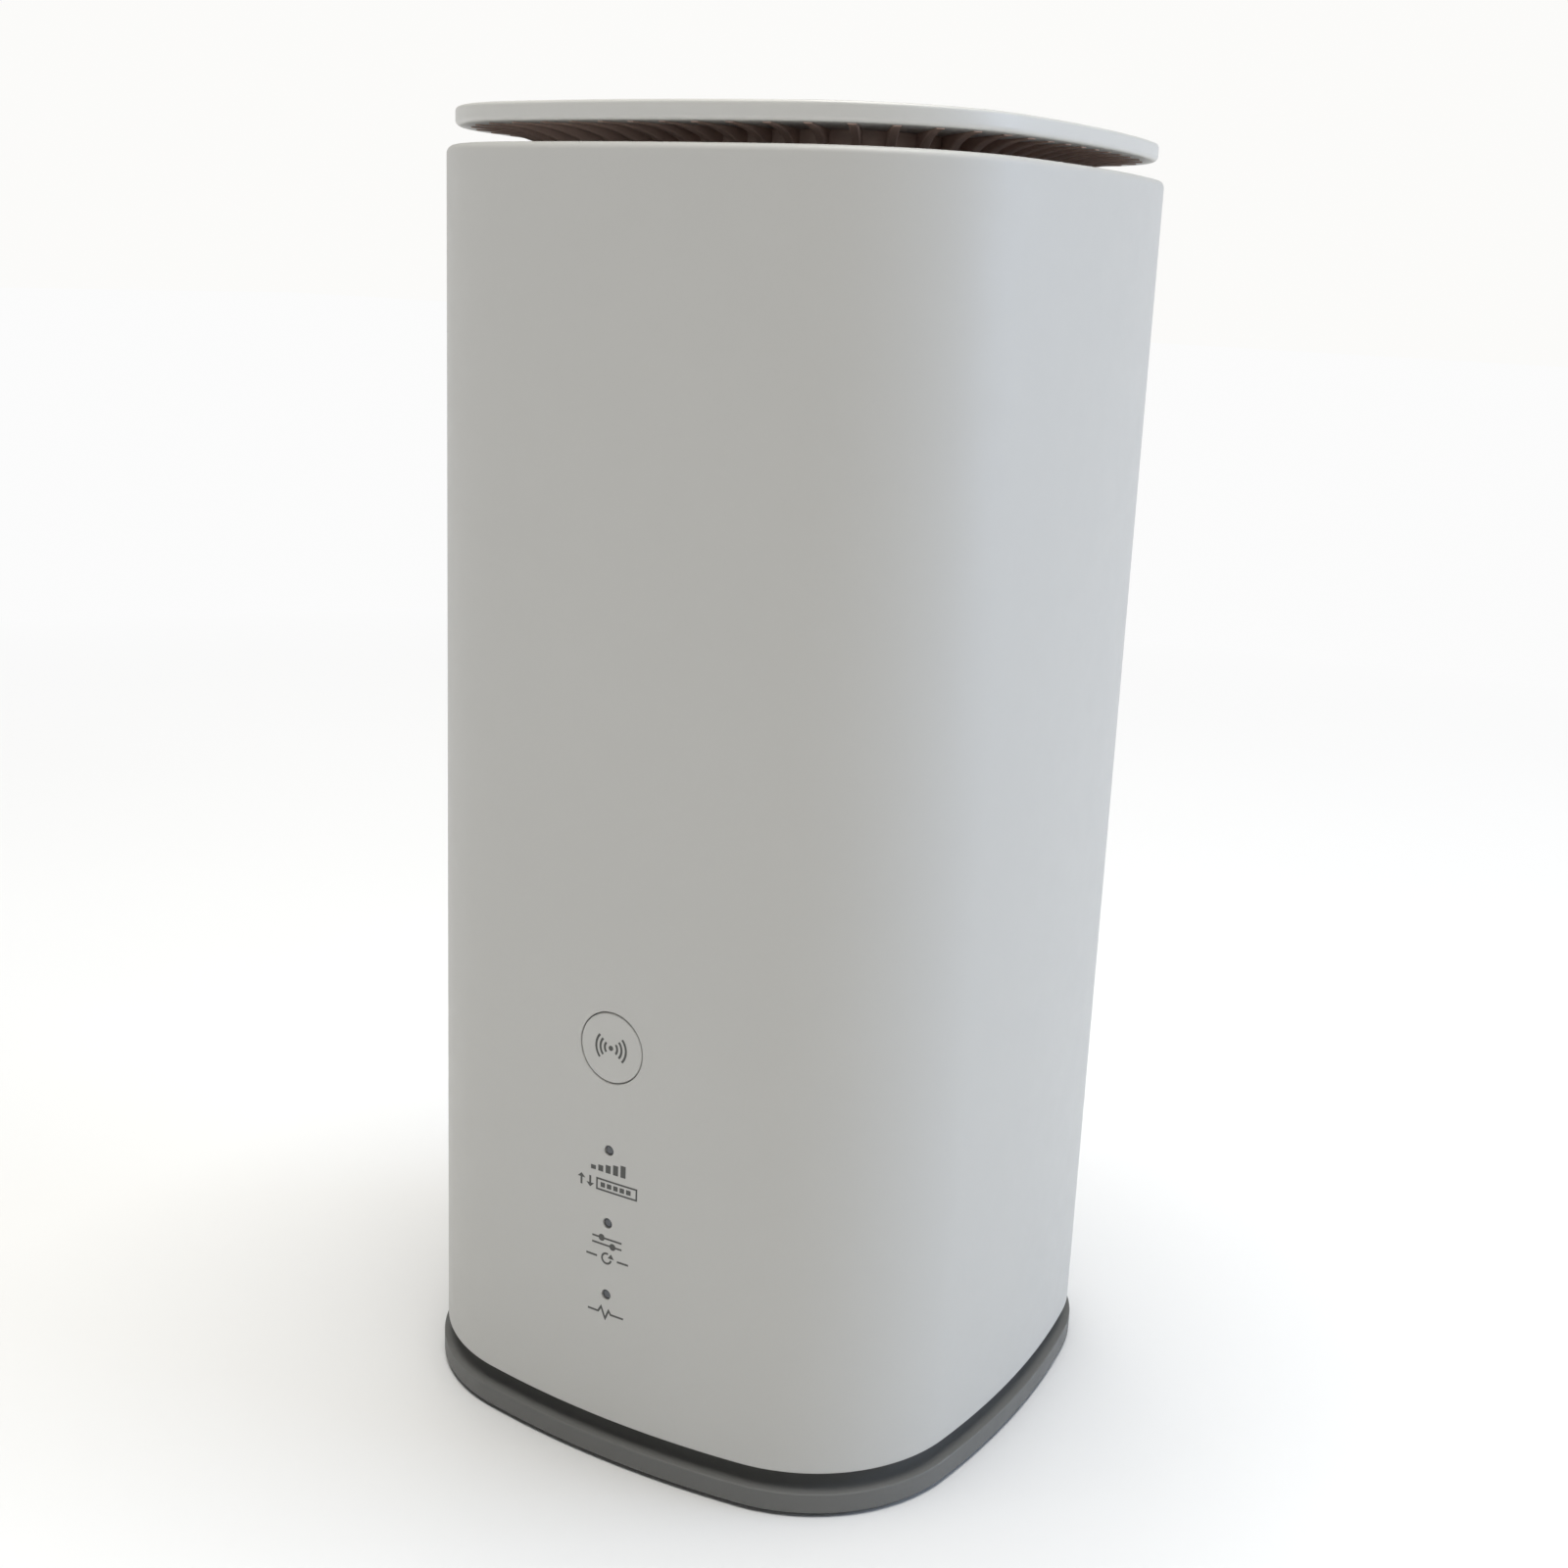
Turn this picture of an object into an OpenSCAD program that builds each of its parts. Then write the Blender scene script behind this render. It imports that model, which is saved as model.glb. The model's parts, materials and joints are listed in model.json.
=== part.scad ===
// Free-standing wireless modem and router: a white tower with bowed sides, a floating lid
// over a ring of vent ribs, and a grey base. All sizes are in millimetres. The origin is at the
// middle of the footprint, on the surface it stands on: +Z is up, -Y is the front with the button
// and lamps, and +Y is the back with the sockets.

/* [Body] */
// Width and depth of the body across the middle of its sides
body_w = 100; // [98:1:102]
// Height from the feet to the top of the lid
body_h = 207; // [205:1:212]
// Radius of the bowed sides in plan
side_r = 163; // [140:1:190]
// Radius of the corners in plan
corner_r = 28.3; // [26:0.1:30]

/* [Shell] */
// Distance of the shell's face inside the body outline
shell_inset = 0.4; // [0.2:0.1:0.6]
// Thickness of the shell's wall
wall = 2.4; // [2:0.1:2.6]
// Height of the shell's lower edge
shell_z = 7.0; // [6.6:0.1:7.4]
// Gap between the shell's rim and the lid
lid_gap = 2.85; // [2.6:0.05:3.2]

/* [Lid and vent] */
// Thickness of the lid
lid_t = 2.65; // [2.4:0.05:3]
// Distance of the lid's edge inside the body outline
lid_inset = 1.7; // [1.5:0.1:2]
// Number of ribs in the vent
rib_count = 56; // [48:4:64]
// Thickness of a rib
rib_t = 1.3; // [1:0.1:1.5]
// Length of a rib's curved lower edge, in plan
rib_reach = 12.2; // [11:0.1:13]
// Fall of a rib's lower edge over that length
rib_drop = 4.3; // [3.5:0.1:4.6]
// Angle between a rib and the line from the middle
rib_swirl = 10; // [0:0.5:12]

/* [Base] */
// Height of the feet below the base
foot_proud = 0.6; // [0.4:0.1:0.8]
// Radius of a foot
foot_r = 6; // [5:0.5:7]
// Height of the base's outer edge
flange_h = 3.3; // [3:0.1:3.6]

/* [Button and lamps] */
// Radius of the button's face
button_r = 5.6; // [5:0.1:6]
// Height of the button's centre
button_z = 70.5; // [69:0.5:72]
// Travel of the button
button_travel = 0.4; // [0.3:0.05:0.45]
// Height of the lowest lamp
lamp_z = 29; // [28:0.5:30]
// Distance between lamps
lamp_pitch = 12.3; // [11.5:0.1:12.5]
// Radius of a lamp's hole
lamp_r = 0.85; // [0.7:0.05:1]

/* [Sockets] */
// Height of the lower network socket's centre
lan_z = 42; // [41:0.5:43]
// Distance between the two network sockets
lan_pitch = 20; // [18:0.5:20]
// Height of the power inlet's centre
dc_z = 22; // [21.5:0.5:23]
// Radius of the power inlet's bore
dc_bore_r = 3.1; // [2.9:0.1:3.2]
// Radius of the power inlet's centre pin
dc_pin_r = 1.0; // [0.8:0.05:1.1]
// Height of the reset button
reset_z = 80; // [79:0.5:81]

/* [Hidden] */

$fn = 48;
half = body_w / 2;
side_c = side_r - half;                     // distance of a side arc's centre past the middle
side_points = 6;
corner_points = 11;
// Centre of a corner arc, on the diagonal, where it runs on smoothly from the side arcs.
corner_c = (-2 * side_c + sqrt(4 * side_c ^ 2 - 8 * (side_c ^ 2 - (side_r - corner_r) ^ 2))) / 4;
side_a = atan2(corner_c, corner_c + side_c);  // half the angle of a side arc

// Heights, from the surface it stands on
base_z = foot_proud;
plate_t = 1.6;                              // base plate
plate_top = base_z + plate_t;
flange_top = base_z + flange_h;
deck_z = 10;                                // underside of the base's deck
deck_t = 2;
frame_z = deck_z + deck_t;
lid_z = body_h - lid_t;
rim_z = lid_z - lid_gap;                    // top of the shell's rim
lip_z = rim_z - 3.5;                        // underside of the shell's lip

// Offsets from the body outline, inwards negative
shell_off = -shell_inset;
inner_off = shell_off - wall;
lip_off = -9.2;
neck_off = -5.7;
lid_off = -lid_inset;
ledge_off = lid_off - 2.4;                  // where the ribs start under the lid
skirt_off = ledge_off - rib_reach;

// Electronics
board_x = -8.3;                             // left face of the main board
board_t = 1.6;
board_right = board_x + board_t;
panel_y = 42.5;                             // inner face of the port panel
panel_t = 1.6;
panel_face = panel_y + panel_t;
panel_w = 26.8;                             // inside of the port panel's rim
panel_bottom = 13.8;
panel_top = 90;
window_w = 26;
ui_y = -38.5;                               // front face of the button and lamp board
ui_t = 1.2;
cap_flange_t = 0.8;
cap_flange_y = -(half + inner_off) + 0.2;   // front of the button's retaining flange
switch_y = ui_y - 3.5;                      // front of the button's switch
plunger_h = button_travel + 0.2;         // how far the switch's plunger stands out
can_h = 2.5;
pad_t = 0.8;
well_x = [-10, 9];                          // SIM well in the base
well_y = [-23, -1];
hinge_y = -22.6;
hinge_z = 1.75;
hinge_r = 0.95;
hinge_pin_r = 0.55;

lamp_heights = [lamp_z + 2 * lamp_pitch, lamp_z + lamp_pitch, lamp_z];
corners = [[-1, -1], [1, -1], [1, 1], [-1, 1]];
base_screw_xy = 31;
frame_screw_xy = [24, 31];
pillar_xy = 20;
foot_xy = 32;
foot_screw_gap = 9;

// ---- outlines and sweeps

function turned(p, a) = [p.x * cos(a) - p.y * sin(a), p.x * sin(a) + p.y * cos(a)];

// Points of the body outline moved out by off, anticlockwise.
function outline(off) = [
    for (q = [0 : 3])
        for (p = concat(
            [for (i = [0 : side_points - 1]) let (a = -side_a + 2 * side_a * i / side_points)
                [-side_c + (side_r + off) * cos(a), (side_r + off) * sin(a)]],
            [for (i = [0 : corner_points - 1]) let (a = side_a + (90 - 2 * side_a) * i / corner_points)
                [corner_c + (corner_r + off) * cos(a), corner_c + (corner_r + off) * sin(a)]]))
            turned(p, 90 * q)];

// Distance from the middle to that outline, in direction a.
function radius_at(a, off) =
    let (b = a - 90 * round(a / 90), u = [cos(b), abs(sin(b))],
         meets = atan2(corner_c + corner_r * sin(side_a), corner_c + corner_r * cos(side_a)),
         on_side = abs(b) < meets,
         c = on_side ? [-side_c, 0] : [corner_c, corner_c],
         r = (on_side ? side_r : corner_r) + off,
         d = u * c)
        d + sqrt(d ^ 2 - c * c + r ^ 2);

module prism(off, z0, z1) {
    translate([0, 0, z0]) linear_extrude(z1 - z0) polygon(outline(off));
}

// Closed solid through outlines at [offset, height] levels, from the lowest up.
module loft(levels) {
    n = len(outline(0));
    last = (len(levels) - 1) * n;
    points = [for (l = levels) for (p = outline(l[0])) [p.x, p.y, l[1]]];
    sides = [for (k = [0 : len(levels) - 2]) for (i = [0 : n - 1]) let (j = (i + 1) % n)
        [k * n + i, (k + 1) * n + i, (k + 1) * n + j, k * n + j]];
    polyhedron(points, concat([[for (i = [0 : n - 1]) i]], sides,
                              [[for (i = [0 : n - 1]) last + n - 1 - i]]));
}

module block(x, y, z) {
    translate([x[0], y[0], z[0]]) cube([x[1] - x[0], y[1] - y[0], z[1] - z[0]]);
}

module rod_x(r, x, y, z) {
    translate([x[0], y, z]) rotate([0, 90, 0]) cylinder(r = r, h = x[1] - x[0]);
}

module rod_y(r, x, y, z) {
    translate([x, y[0], z]) rotate([-90, 0, 0]) cylinder(r = r, h = y[1] - y[0]);
}

module rod_z(r, x, y, z) {
    translate([x, y, z[0]]) cylinder(r = r, h = z[1] - z[0]);
}

// Screw along +Z with its head's top at the origin and its shaft pointing up into the work.
module screw(shaft_r, head_r, head_t, length) {
    slot = head_r * 0.3;
    difference() {
        union() {
            cylinder(r = head_r, h = head_t);
            cylinder(r = shaft_r, h = head_t + length);
        }
        for (a = [0, 90])
            rotate([0, 0, a]) translate([-head_r * 0.7, -slot / 2, -0.1])
                cube([head_r * 1.4, slot, head_t * 0.6 + 0.1]);
    }
}

// Round-cornered window through the back of the shell.
module window(w, z, r, y) {
    block([-w / 2 + r, w / 2 - r], y, z);
    block([-w / 2, w / 2], y, [z[0] + r, z[1] - r]);
    for (x = [-w / 2 + r, w / 2 - r])
        for (h = [z[0] + r, z[1] - r])
            rod_y(r, x, y, h);
}

// Smooth curve through points p, with steps points to a span.
function spline_point(p, i, t) =
    let (a = p[max(i - 1, 0)], b = p[i], c = p[i + 1], d = p[min(i + 2, len(p) - 1)])
        0.5 * (2 * b + (c - a) * t + (2 * a - 5 * b + 4 * c - d) * t ^ 2 + (3 * b - a - 3 * c + d) * t ^ 3);
function spline(p, steps) = concat(
    [for (i = [0 : len(p) - 2]) for (k = [0 : steps - 1]) spline_point(p, i, k / steps)],
    [p[len(p) - 1]]);
function unit(v) = v / norm(v);

// Direction across the path at point i, carried along it with no twist.
function across(along, i) = i == 0
    ? unit(cross(along[0], [0.2, 0.3, 0.9]))
    : let (before = across(along, i - 1)) unit(before - (before * along[i]) * along[i]);

// Tube of radius r along a path.
module tube(path, r, sides = 8) {
    last = len(path) - 1;
    along = [for (i = [0 : last]) unit(path[min(i + 1, last)] - path[max(i - 1, 0)])];
    points = [for (i = [0 : last]) let (u = across(along, i), v = cross(along[i], u))
        for (k = [0 : sides - 1]) let (a = 360 * k / sides) path[i] + r * (u * cos(a) + v * sin(a))];
    walls = [for (i = [0 : last - 1]) for (k = [0 : sides - 1]) let (j = (k + 1) % sides)
        [i * sides + k, (i + 1) * sides + k, (i + 1) * sides + j, i * sides + j]];
    polyhedron(points, concat([[for (k = [0 : sides - 1]) k]], walls,
                              [[for (k = [0 : sides - 1]) last * sides + sides - 1 - k]]));
}

// ---- casing

module outer_shell() {
    color([0.93, 0.93, 0.92]) difference() {
        union() {
            difference() {
                loft([[shell_off - 0.4, shell_z], [shell_off, shell_z + 0.4], [shell_off, rim_z - 1],
                      [shell_off - 0.3, rim_z - 0.3], [shell_off - 1, rim_z]]);
                loft([[inner_off, shell_z - 1], [inner_off, lip_z - 0.8], [inner_off - 0.8, lip_z],
                      [lip_off, lip_z], [lip_off, rim_z - 1.9], [shell_off - 1.6, rim_z - 0.05],
                      [shell_off - 1.5, rim_z + 1]]);
            }
            rod_y(button_r + 2.7, 0, [-(half + inner_off) - 0.5, -(half + inner_off) + 2.7], button_z);
        }
        rod_y(button_r + 0.15, 0, [-half - 1, -half + 6], button_z);
        rod_y(button_r + 1.5, 0, [-(half + inner_off), -half + 6], button_z);
        for (z = lamp_heights)
            rod_y(lamp_r, 0, [-half - 1, -half + 6], z);
        window(window_w, [panel_bottom + 0.4, panel_top - 0.4], 3, [panel_face + 1, half + 1]);
    }
}

module top_lid() {
    color([0.93, 0.93, 0.92]) {
        loft([[ledge_off, lid_z], [lid_off - 1.2, lid_z + 0.05], [lid_off - 0.5, lid_z + 0.25],
              [lid_off - 0.1, lid_z + 0.75], [lid_off, lid_z + 1.25], [lid_off, body_h - 0.6],
              [lid_off - 0.2, body_h - 0.2], [lid_off - 0.6, body_h]]);
        for (a = [0 : 90 : 270])
            rotate([0, 0, a]) rod_z(1.6, 14, 0, [lid_z - 2, lid_z + 0.5]);
    }
}

grille_plate_t = 2;
skirt_t = 1.5;
skirt_z = lid_z - 7.4;

// A rib's side: flat on top, with a quarter-ellipse lower edge that ends in the skirt.
function rib_side() = concat(
    [for (i = [0 : 7]) let (s = rib_reach * sin(90 * i / 7))
        [-s, -rib_drop * (1 - sqrt(1 - (s / rib_reach) ^ 2)) - 0.15]],
    [[-rib_reach, skirt_z - lid_z], [-rib_reach - 3, skirt_z - lid_z], [-rib_reach - 3, 0], [0, 0]]);

module vent_grille() {
    color([0.36, 0.35, 0.33]) difference() {
        union() {
            prism(skirt_off, skirt_z, lid_z);
            for (i = [0 : rib_count - 1]) let (a = 360 * (i + 0.5) / rib_count)
                rotate([0, 0, a]) translate([radius_at(a, ledge_off), 0, lid_z])
                    rotate([0, 0, -rib_swirl]) rotate([90, 0, 0])
                        linear_extrude(rib_t, center = true) polygon(rib_side());
        }
        prism(skirt_off - skirt_t, skirt_z - 1, lid_z - grille_plate_t);
        for (a = [0 : 90 : 270])
            rotate([0, 0, a]) rod_z(1.7, 14, 0, [lid_z - 4, lid_z + 1]);
        for (c = corners) {
            rod_z(1.5, c.x * pillar_xy, c.y * pillar_xy, [lid_z - 4, lid_z + 1]);
            rod_z(2.8, c.x * pillar_xy, c.y * pillar_xy, [lid_z - 1.2, lid_z + 1]);
        }
    }
}

module base_housing() {
    color([0.42, 0.42, 0.41]) {
        difference() {
            union() {
                difference() {
                    loft([[-0.1, base_z], [0.3, base_z + 0.4], [0.3, flange_top - 0.3], [0.1, flange_top],
                          [-0.7, flange_top + 0.1], [-2, flange_top + 0.4], [-3.4, flange_top + 1.1],
                          [-4.6, flange_top + 2.3], [-5.4, flange_top + 3.9], [neck_off, deck_z - 0.3],
                          [neck_off, frame_z]]);
                    loft([[-2.4, base_z - 1], [-2.4, plate_top], [-3.6, plate_top], [-3.9, plate_top + 1],
                          [-7.6, plate_top + 5.6], [-7.6, deck_z]]);
                }
                for (c = corners) {
                    rod_z(3.6, c.x * base_screw_xy, c.y * base_screw_xy, [plate_top, deck_z + 0.5]);
                }
                block([well_x[0] - 1.2, well_x[1] + 1.2], [well_y[0] - 1.2, well_y[1] + 1.2],
                      [plate_top + 1.6, deck_z + 0.5]);
                for (a = [18 : 36 : 342])
                    rotate([0, 0, a]) translate([radius_at(a, neck_off) - 0.6, -1, deck_z])
                        cube([-neck_off + inner_off + 0.4, 2, deck_t]);
            }
            block(well_x, well_y, [base_z, deck_z]);
            block([board_x - 0.8, board_right + 3], [-21, -3], [deck_z - 1, frame_z + 1]);
            for (c = corners) {
                rod_z(1.25, c.x * base_screw_xy, c.y * base_screw_xy, [plate_top - 1, deck_z - 1]);
                rod_z(1.7, c.x * frame_screw_xy[0], c.y * frame_screw_xy[1], [deck_z - 1, frame_z + 1]);
            }
        }
    }
}

lug_w = 2.2;
module base_plate() {
    color([0.40, 0.40, 0.39]) difference() {
        union() {
            prism(-2.6, base_z, plate_top);
            for (x = [well_x[0] - lug_w + 0.7, well_x[1] - 0.7])
                block([x, x + lug_w], [hinge_y - 1.6, hinge_y + 1.6], [base_z, hinge_z + 1.7]);
        }
        block([well_x[0] + 0.7, well_x[1] - 0.7], [well_y[0] - 1, well_y[1] - 0.4],
              [base_z - 1, plate_top + 3]);
        rod_x(hinge_pin_r + 0.05, [well_x[0] - 1, well_x[1] + 1], hinge_y, hinge_z);
        for (c = corners) {
            rod_z(1.6, c.x * base_screw_xy, c.y * base_screw_xy, [base_z - 1, plate_top + 1]);
            rod_z(2.9, c.x * base_screw_xy, c.y * base_screw_xy, [base_z - 1, base_z + 0.8]);
            for (s = [-1, 1]) foot_place(c) rod_z(foot_r + 0.1, 0, 0, [base_z - 1, base_z + 0.8]);
        }
        block([-23, 23], [6, 26], [base_z - 1, base_z + 0.2]);
    }
}

// A foot sits beside its corner's screw, towards the front or back.
module foot_place(c) {
    translate([c.x * (base_screw_xy - foot_screw_gap), c.y * (foot_xy + 3), 0]) children();
}

module foot(c) {
    color([0.12, 0.12, 0.12]) foot_place(c) {
        rod_z(foot_r, 0, 0, [0.3, base_z + 0.8]);
        rod_z(foot_r - 0.4, 0, 0, [0, 0.5]);
    }
}

module base_screws() {
    color([0.55, 0.55, 0.56])
        for (c = corners)
            translate([c.x * base_screw_xy, c.y * base_screw_xy, base_z]) screw(1.2, 2.7, 0.75, 7);
}

module rating_plate() {
    color([0.85, 0.85, 0.84]) block([-22.8, 22.8], [6.2, 25.8], [base_z + 0.02, base_z + 0.2]);
}

module sim_cover() {
    plate_x = [well_x[0] + 0.9, well_x[1] - 0.9];
    color([0.40, 0.40, 0.39]) {
        difference() {
            union() {
                block(plate_x, [hinge_y, well_y[1] - 0.6], [base_z, plate_top - 0.4]);
                rod_x(hinge_r, plate_x, hinge_y, hinge_z);
                rod_x(hinge_pin_r, [plate_x[0] - 1.4, plate_x[1] + 1.4], hinge_y, hinge_z);
            }
            rod_y(4, (plate_x[0] + plate_x[1]) / 2, [well_y[1] - 2.6, well_y[1]], base_z - 3.3);
        }
    }
}

// ---- back panel and sockets

jack_w = 16;
jack_h = 13.5;
jack_d = 21;
jack_x = [board_right, board_right + jack_h];
jack_cx = board_right + jack_h / 2;
lan_heights = [lan_z, lan_z + lan_pitch];
shield_t = 0.3;

module port_panel() {
    outer_w = panel_w + 3.2;
    ear_w = 38;
    color([0.90, 0.90, 0.89]) difference() {
        union() {
            block([-outer_w / 2, outer_w / 2], [panel_y, half + inner_off - 0.95],
                  [panel_bottom - 1.6, panel_top + 1.6]);
            for (z = [18, 84])
                block([-ear_w / 2, ear_w / 2], [panel_y, panel_face], [z - 4, z + 4]);
        }
        window(panel_w, [panel_bottom, panel_top], 3.4, [panel_face, half]);
        for (z = lan_heights)
            block([jack_x[0] - 0.2, jack_x[1] + 0.2], [panel_y - 1, panel_face + 1],
                  [z - jack_w / 2 - 0.2, z + jack_w / 2 + 0.2]);
        rod_y(3.7, 0, [panel_y - 1, panel_face + 1], dc_z);
        rod_y(1.3, board_right + 3, [panel_y - 1, panel_face + 1], reset_z);
        for (x = [-17, 17])
            for (z = [18, 84])
                rod_y(1.3, x, [panel_y - 1, panel_face + 1], z);
    }
}

module panel_screws() {
    color([0.55, 0.55, 0.56])
        for (x = [-17, 17])
            for (z = [18, 84])
                translate([x, panel_face + 1.1, z]) rotate([90, 0, 0]) screw(1.1, 1.9, 1.1, 5);
}

// Socket's plug space, seen from behind: the plug's body with the latch's two steps.
module plug_space(z) {
    y = [panel_face - 13, panel_face + 1];
    block([jack_cx - 3.6, jack_cx + 3.2], y, [z - 5.95, z + 5.95]);
    block([jack_cx, jack_cx + 4.4], y, [z - 3.1, z + 3.1]);
    block([jack_cx, jack_cx + 5.4], y, [z - 1.7, z + 1.7]);
}

module lan_jack(z) {
    color([0.10, 0.10, 0.11]) difference() {
        block([jack_x[0] + shield_t, jack_x[1] - shield_t],
              [panel_face - jack_d + shield_t, panel_face - 0.3],
              [z - jack_w / 2 + shield_t, z + jack_w / 2 - shield_t]);
        plug_space(z);
        for (i = [0 : 7])
            block([jack_cx - 4.6, jack_cx - 1], [panel_face - 14.2, panel_face - 2.4],
                  [z + (i - 3.5) * 1.27 - 0.4, z + (i - 3.5) * 1.27 + 0.4]);
    }
}

module lan_shield(z) {
    color([0.72, 0.72, 0.73]) difference() {
        block(jack_x, [panel_face - jack_d, panel_face], [z - jack_w / 2, z + jack_w / 2]);
        block([jack_x[0] + shield_t, jack_x[1] - shield_t],
              [panel_face - jack_d + shield_t, panel_face - 0.3],
              [z - jack_w / 2 + shield_t, z + jack_w / 2 - shield_t]);
        intersection() {
            plug_space(z);
            block([-half, half], [panel_face - 1, panel_face + 1], [0, body_h]);
        }
    }
}

// Eight sprung wires that slope into the plug space.
module lan_contacts(z) {
    rise = 2.4;
    run = 9;
    color([0.85, 0.68, 0.32])
        for (i = [0 : 7])
            translate([jack_cx - 4.6, panel_face - 14.2, z + (i - 3.5) * 1.27])
                linear_extrude(0.44, center = true)
                    polygon([[0, 0], [0.42, 0], [0.42, 1], [rise + 0.42, run], [rise, run + 0.3], [0, 1.2]]);
}

module lan_magnetics() {
    color([0.12, 0.12, 0.13])
        for (z = lan_heights)
            block([board_right, board_right + 6], [4, 19], [z - 6, z + 6]);
}

module dc_inlet() {
    color([0.10, 0.10, 0.11]) difference() {
        block([board_right, board_right + 11.2], [panel_face - 14, panel_y - 0.2], [dc_z - 4.5, dc_z + 4.5]);
        rod_y(dc_bore_r, 0, [panel_face - 9.6, panel_face], dc_z);
    }
    color([0.10, 0.10, 0.11]) difference() {
        rod_y(3.6, 0, [panel_y - 0.2, panel_face - 0.1], dc_z);
        rod_y(dc_bore_r, 0, [panel_face - 9.6, panel_face], dc_z);
    }
}

module dc_pin() {
    color([0.75, 0.75, 0.72]) rod_y(dc_pin_r, 0, [panel_face - 9.6, panel_face - 1.6], dc_z);
}

reset_x = board_right + 3;
reset_y = 39.8;
reset_travel = 0.3;
module reset_switch() {
    color([0.10, 0.10, 0.11]) difference() {
        block([board_right, board_right + 6], [36.5, 40.5], [reset_z - 3, reset_z + 3]);
        rod_y(1.2, reset_x, [reset_y - reset_travel - 0.1, 41], reset_z);
    }
}

module reset_plunger() {
    color([0.85, 0.85, 0.84]) rod_y(1.1, reset_x, [reset_y, panel_face - 0.5], reset_z);
}

// ---- inner frame and fixings

column_z = [frame_z, lip_z];
column_off = inner_off - 1.5;
column_t = 2;
foil_t = 0.3;
lead_z = 104;                               // where a lead passes its corner column
wifi_lead_z = 70;
top_deck_z = 184;

module inner_frame() {
    color([0.80, 0.80, 0.78]) difference() {
        union() {
            prism(-8.5, frame_z, frame_z + 2);
            intersection() {
                difference() {
                    prism(column_off, column_z[0], column_z[1]);
                    prism(column_off - column_t, column_z[0] + 2, column_z[1] + 1);
                }
                for (c = corners)
                    translate([c.x * 42, c.y * 42, body_h / 2]) cube([34, 34, body_h], center = true);
            }
            difference() {
                prism(column_off - 0.5, top_deck_z, top_deck_z + 2);
                rod_z(24, 0, 0, [top_deck_z - 1, top_deck_z + 3]);
            }
            for (c = corners) {
                rod_z(3.2, c.x * pillar_xy, c.y * pillar_xy, [top_deck_z, lid_z - grille_plate_t]);
                rod_z(4, c.x * frame_screw_xy[0], c.y * frame_screw_xy[1], [frame_z, frame_z + 8]);
            }
            block([-13, 13], [ui_y + ui_t + 2, ui_y + ui_t + 3.5], [frame_z, 86]);
            for (p = [[-7, 26], [7, 76]])
                rod_y(2.6, p.x, [ui_y + ui_t, ui_y + ui_t + 3], p.y);
            block([board_x - 2, board_right + 2], [ui_y + ui_t + 3, -29.5], [frame_z, 86]);
            block([board_x - 2, board_right + 2], [-30, -24], [172, top_deck_z + 1]);
            block([board_x - 2, board_right + 2], [24, 30], [172, top_deck_z + 1]);
            for (x = [-19.5, 14.5])
                block([x, x + 5], [38.5, panel_y], [frame_z, panel_top + 1.6]);
            block([board_x - 2, board_right + 2], [24, 41], [frame_z, 17.4]);
        }
        block([board_x, board_right], [-31, 41], [16, 176]);
        block([board_x - 0.8, board_right + 3], [-21, -3], [frame_z - 1, frame_z + 3]);
        for (c = corners, z = [lead_z, wifi_lead_z])
            rotate([0, 0, 45 + (c.x > 0 ? 0 : 180) + (c.x * c.y > 0 ? 0 : -90)]) rod_x(1, [46, 56], 0, z);
        for (c = corners) {
            rod_z(1.2, c.x * pillar_xy, c.y * pillar_xy, [lid_z - 12, lid_z]);
            rod_z(1.25, c.x * frame_screw_xy[0], c.y * frame_screw_xy[1], [frame_z - 1, frame_z + 7]);
        }
        for (p = [[-7, 26], [7, 76]])
            rod_y(1.0, p.x, [ui_y, ui_y + 8], p.y);
        for (x = [-17, 17])
            for (z = [18, 84])
                rod_y(1.15, x, [37, panel_y + 1], z);
    }
}

module frame_screws() {
    color([0.55, 0.55, 0.56])
        for (c = corners)
            translate([c.x * frame_screw_xy[0], c.y * frame_screw_xy[1], deck_z - 1.4])
                screw(1.2, 2.8, 1.4, 7);
}

module grille_screws() {
    color([0.55, 0.55, 0.56])
        for (c = corners)
            translate([c.x * pillar_xy, c.y * pillar_xy, lid_z - 0.1]) mirror([0, 0, 1])
                screw(1.15, 2.6, 1.1, 8);
}

// ---- button and lamp board

module wps_button() {
    color([0.93, 0.93, 0.92]) {
        rod_y(button_r, 0, [-half - shell_off, cap_flange_y + 0.1], button_z);
        rod_y(button_r + 1.2, 0, [cap_flange_y, cap_flange_y + cap_flange_t], button_z);
        rod_y(1.6, 0, [cap_flange_y + cap_flange_t - 0.1, switch_y - plunger_h], button_z);
    }
}

module wps_switch() {
    color([0.14, 0.14, 0.15]) difference() {
        block([-3, 3], [switch_y, ui_y], [button_z - 3, button_z + 3]);
        rod_y(1.75, 0, [switch_y - 1, switch_y + 1.6], button_z);
    }
}

module wps_plunger() {
    color([0.55, 0.16, 0.12]) rod_y(1.7, 0, [switch_y - plunger_h, switch_y + 1.1], button_z);
}

module ui_board() {
    color([0.10, 0.33, 0.20]) difference() {
        block([-10, 10], [ui_y, ui_y + ui_t], [22, 80]);
        for (p = [[-7, 26], [7, 76]])
            rod_y(1.15, p.x, [ui_y - 1, ui_y + 3], p.y);
    }
}

module ui_screws() {
    color([0.55, 0.55, 0.56])
        for (p = [[-7, 26], [7, 76]])
            translate([p.x, ui_y - 1, p.y]) rotate([-90, 0, 0]) screw(0.95, 1.9, 1, 4);
}

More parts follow.
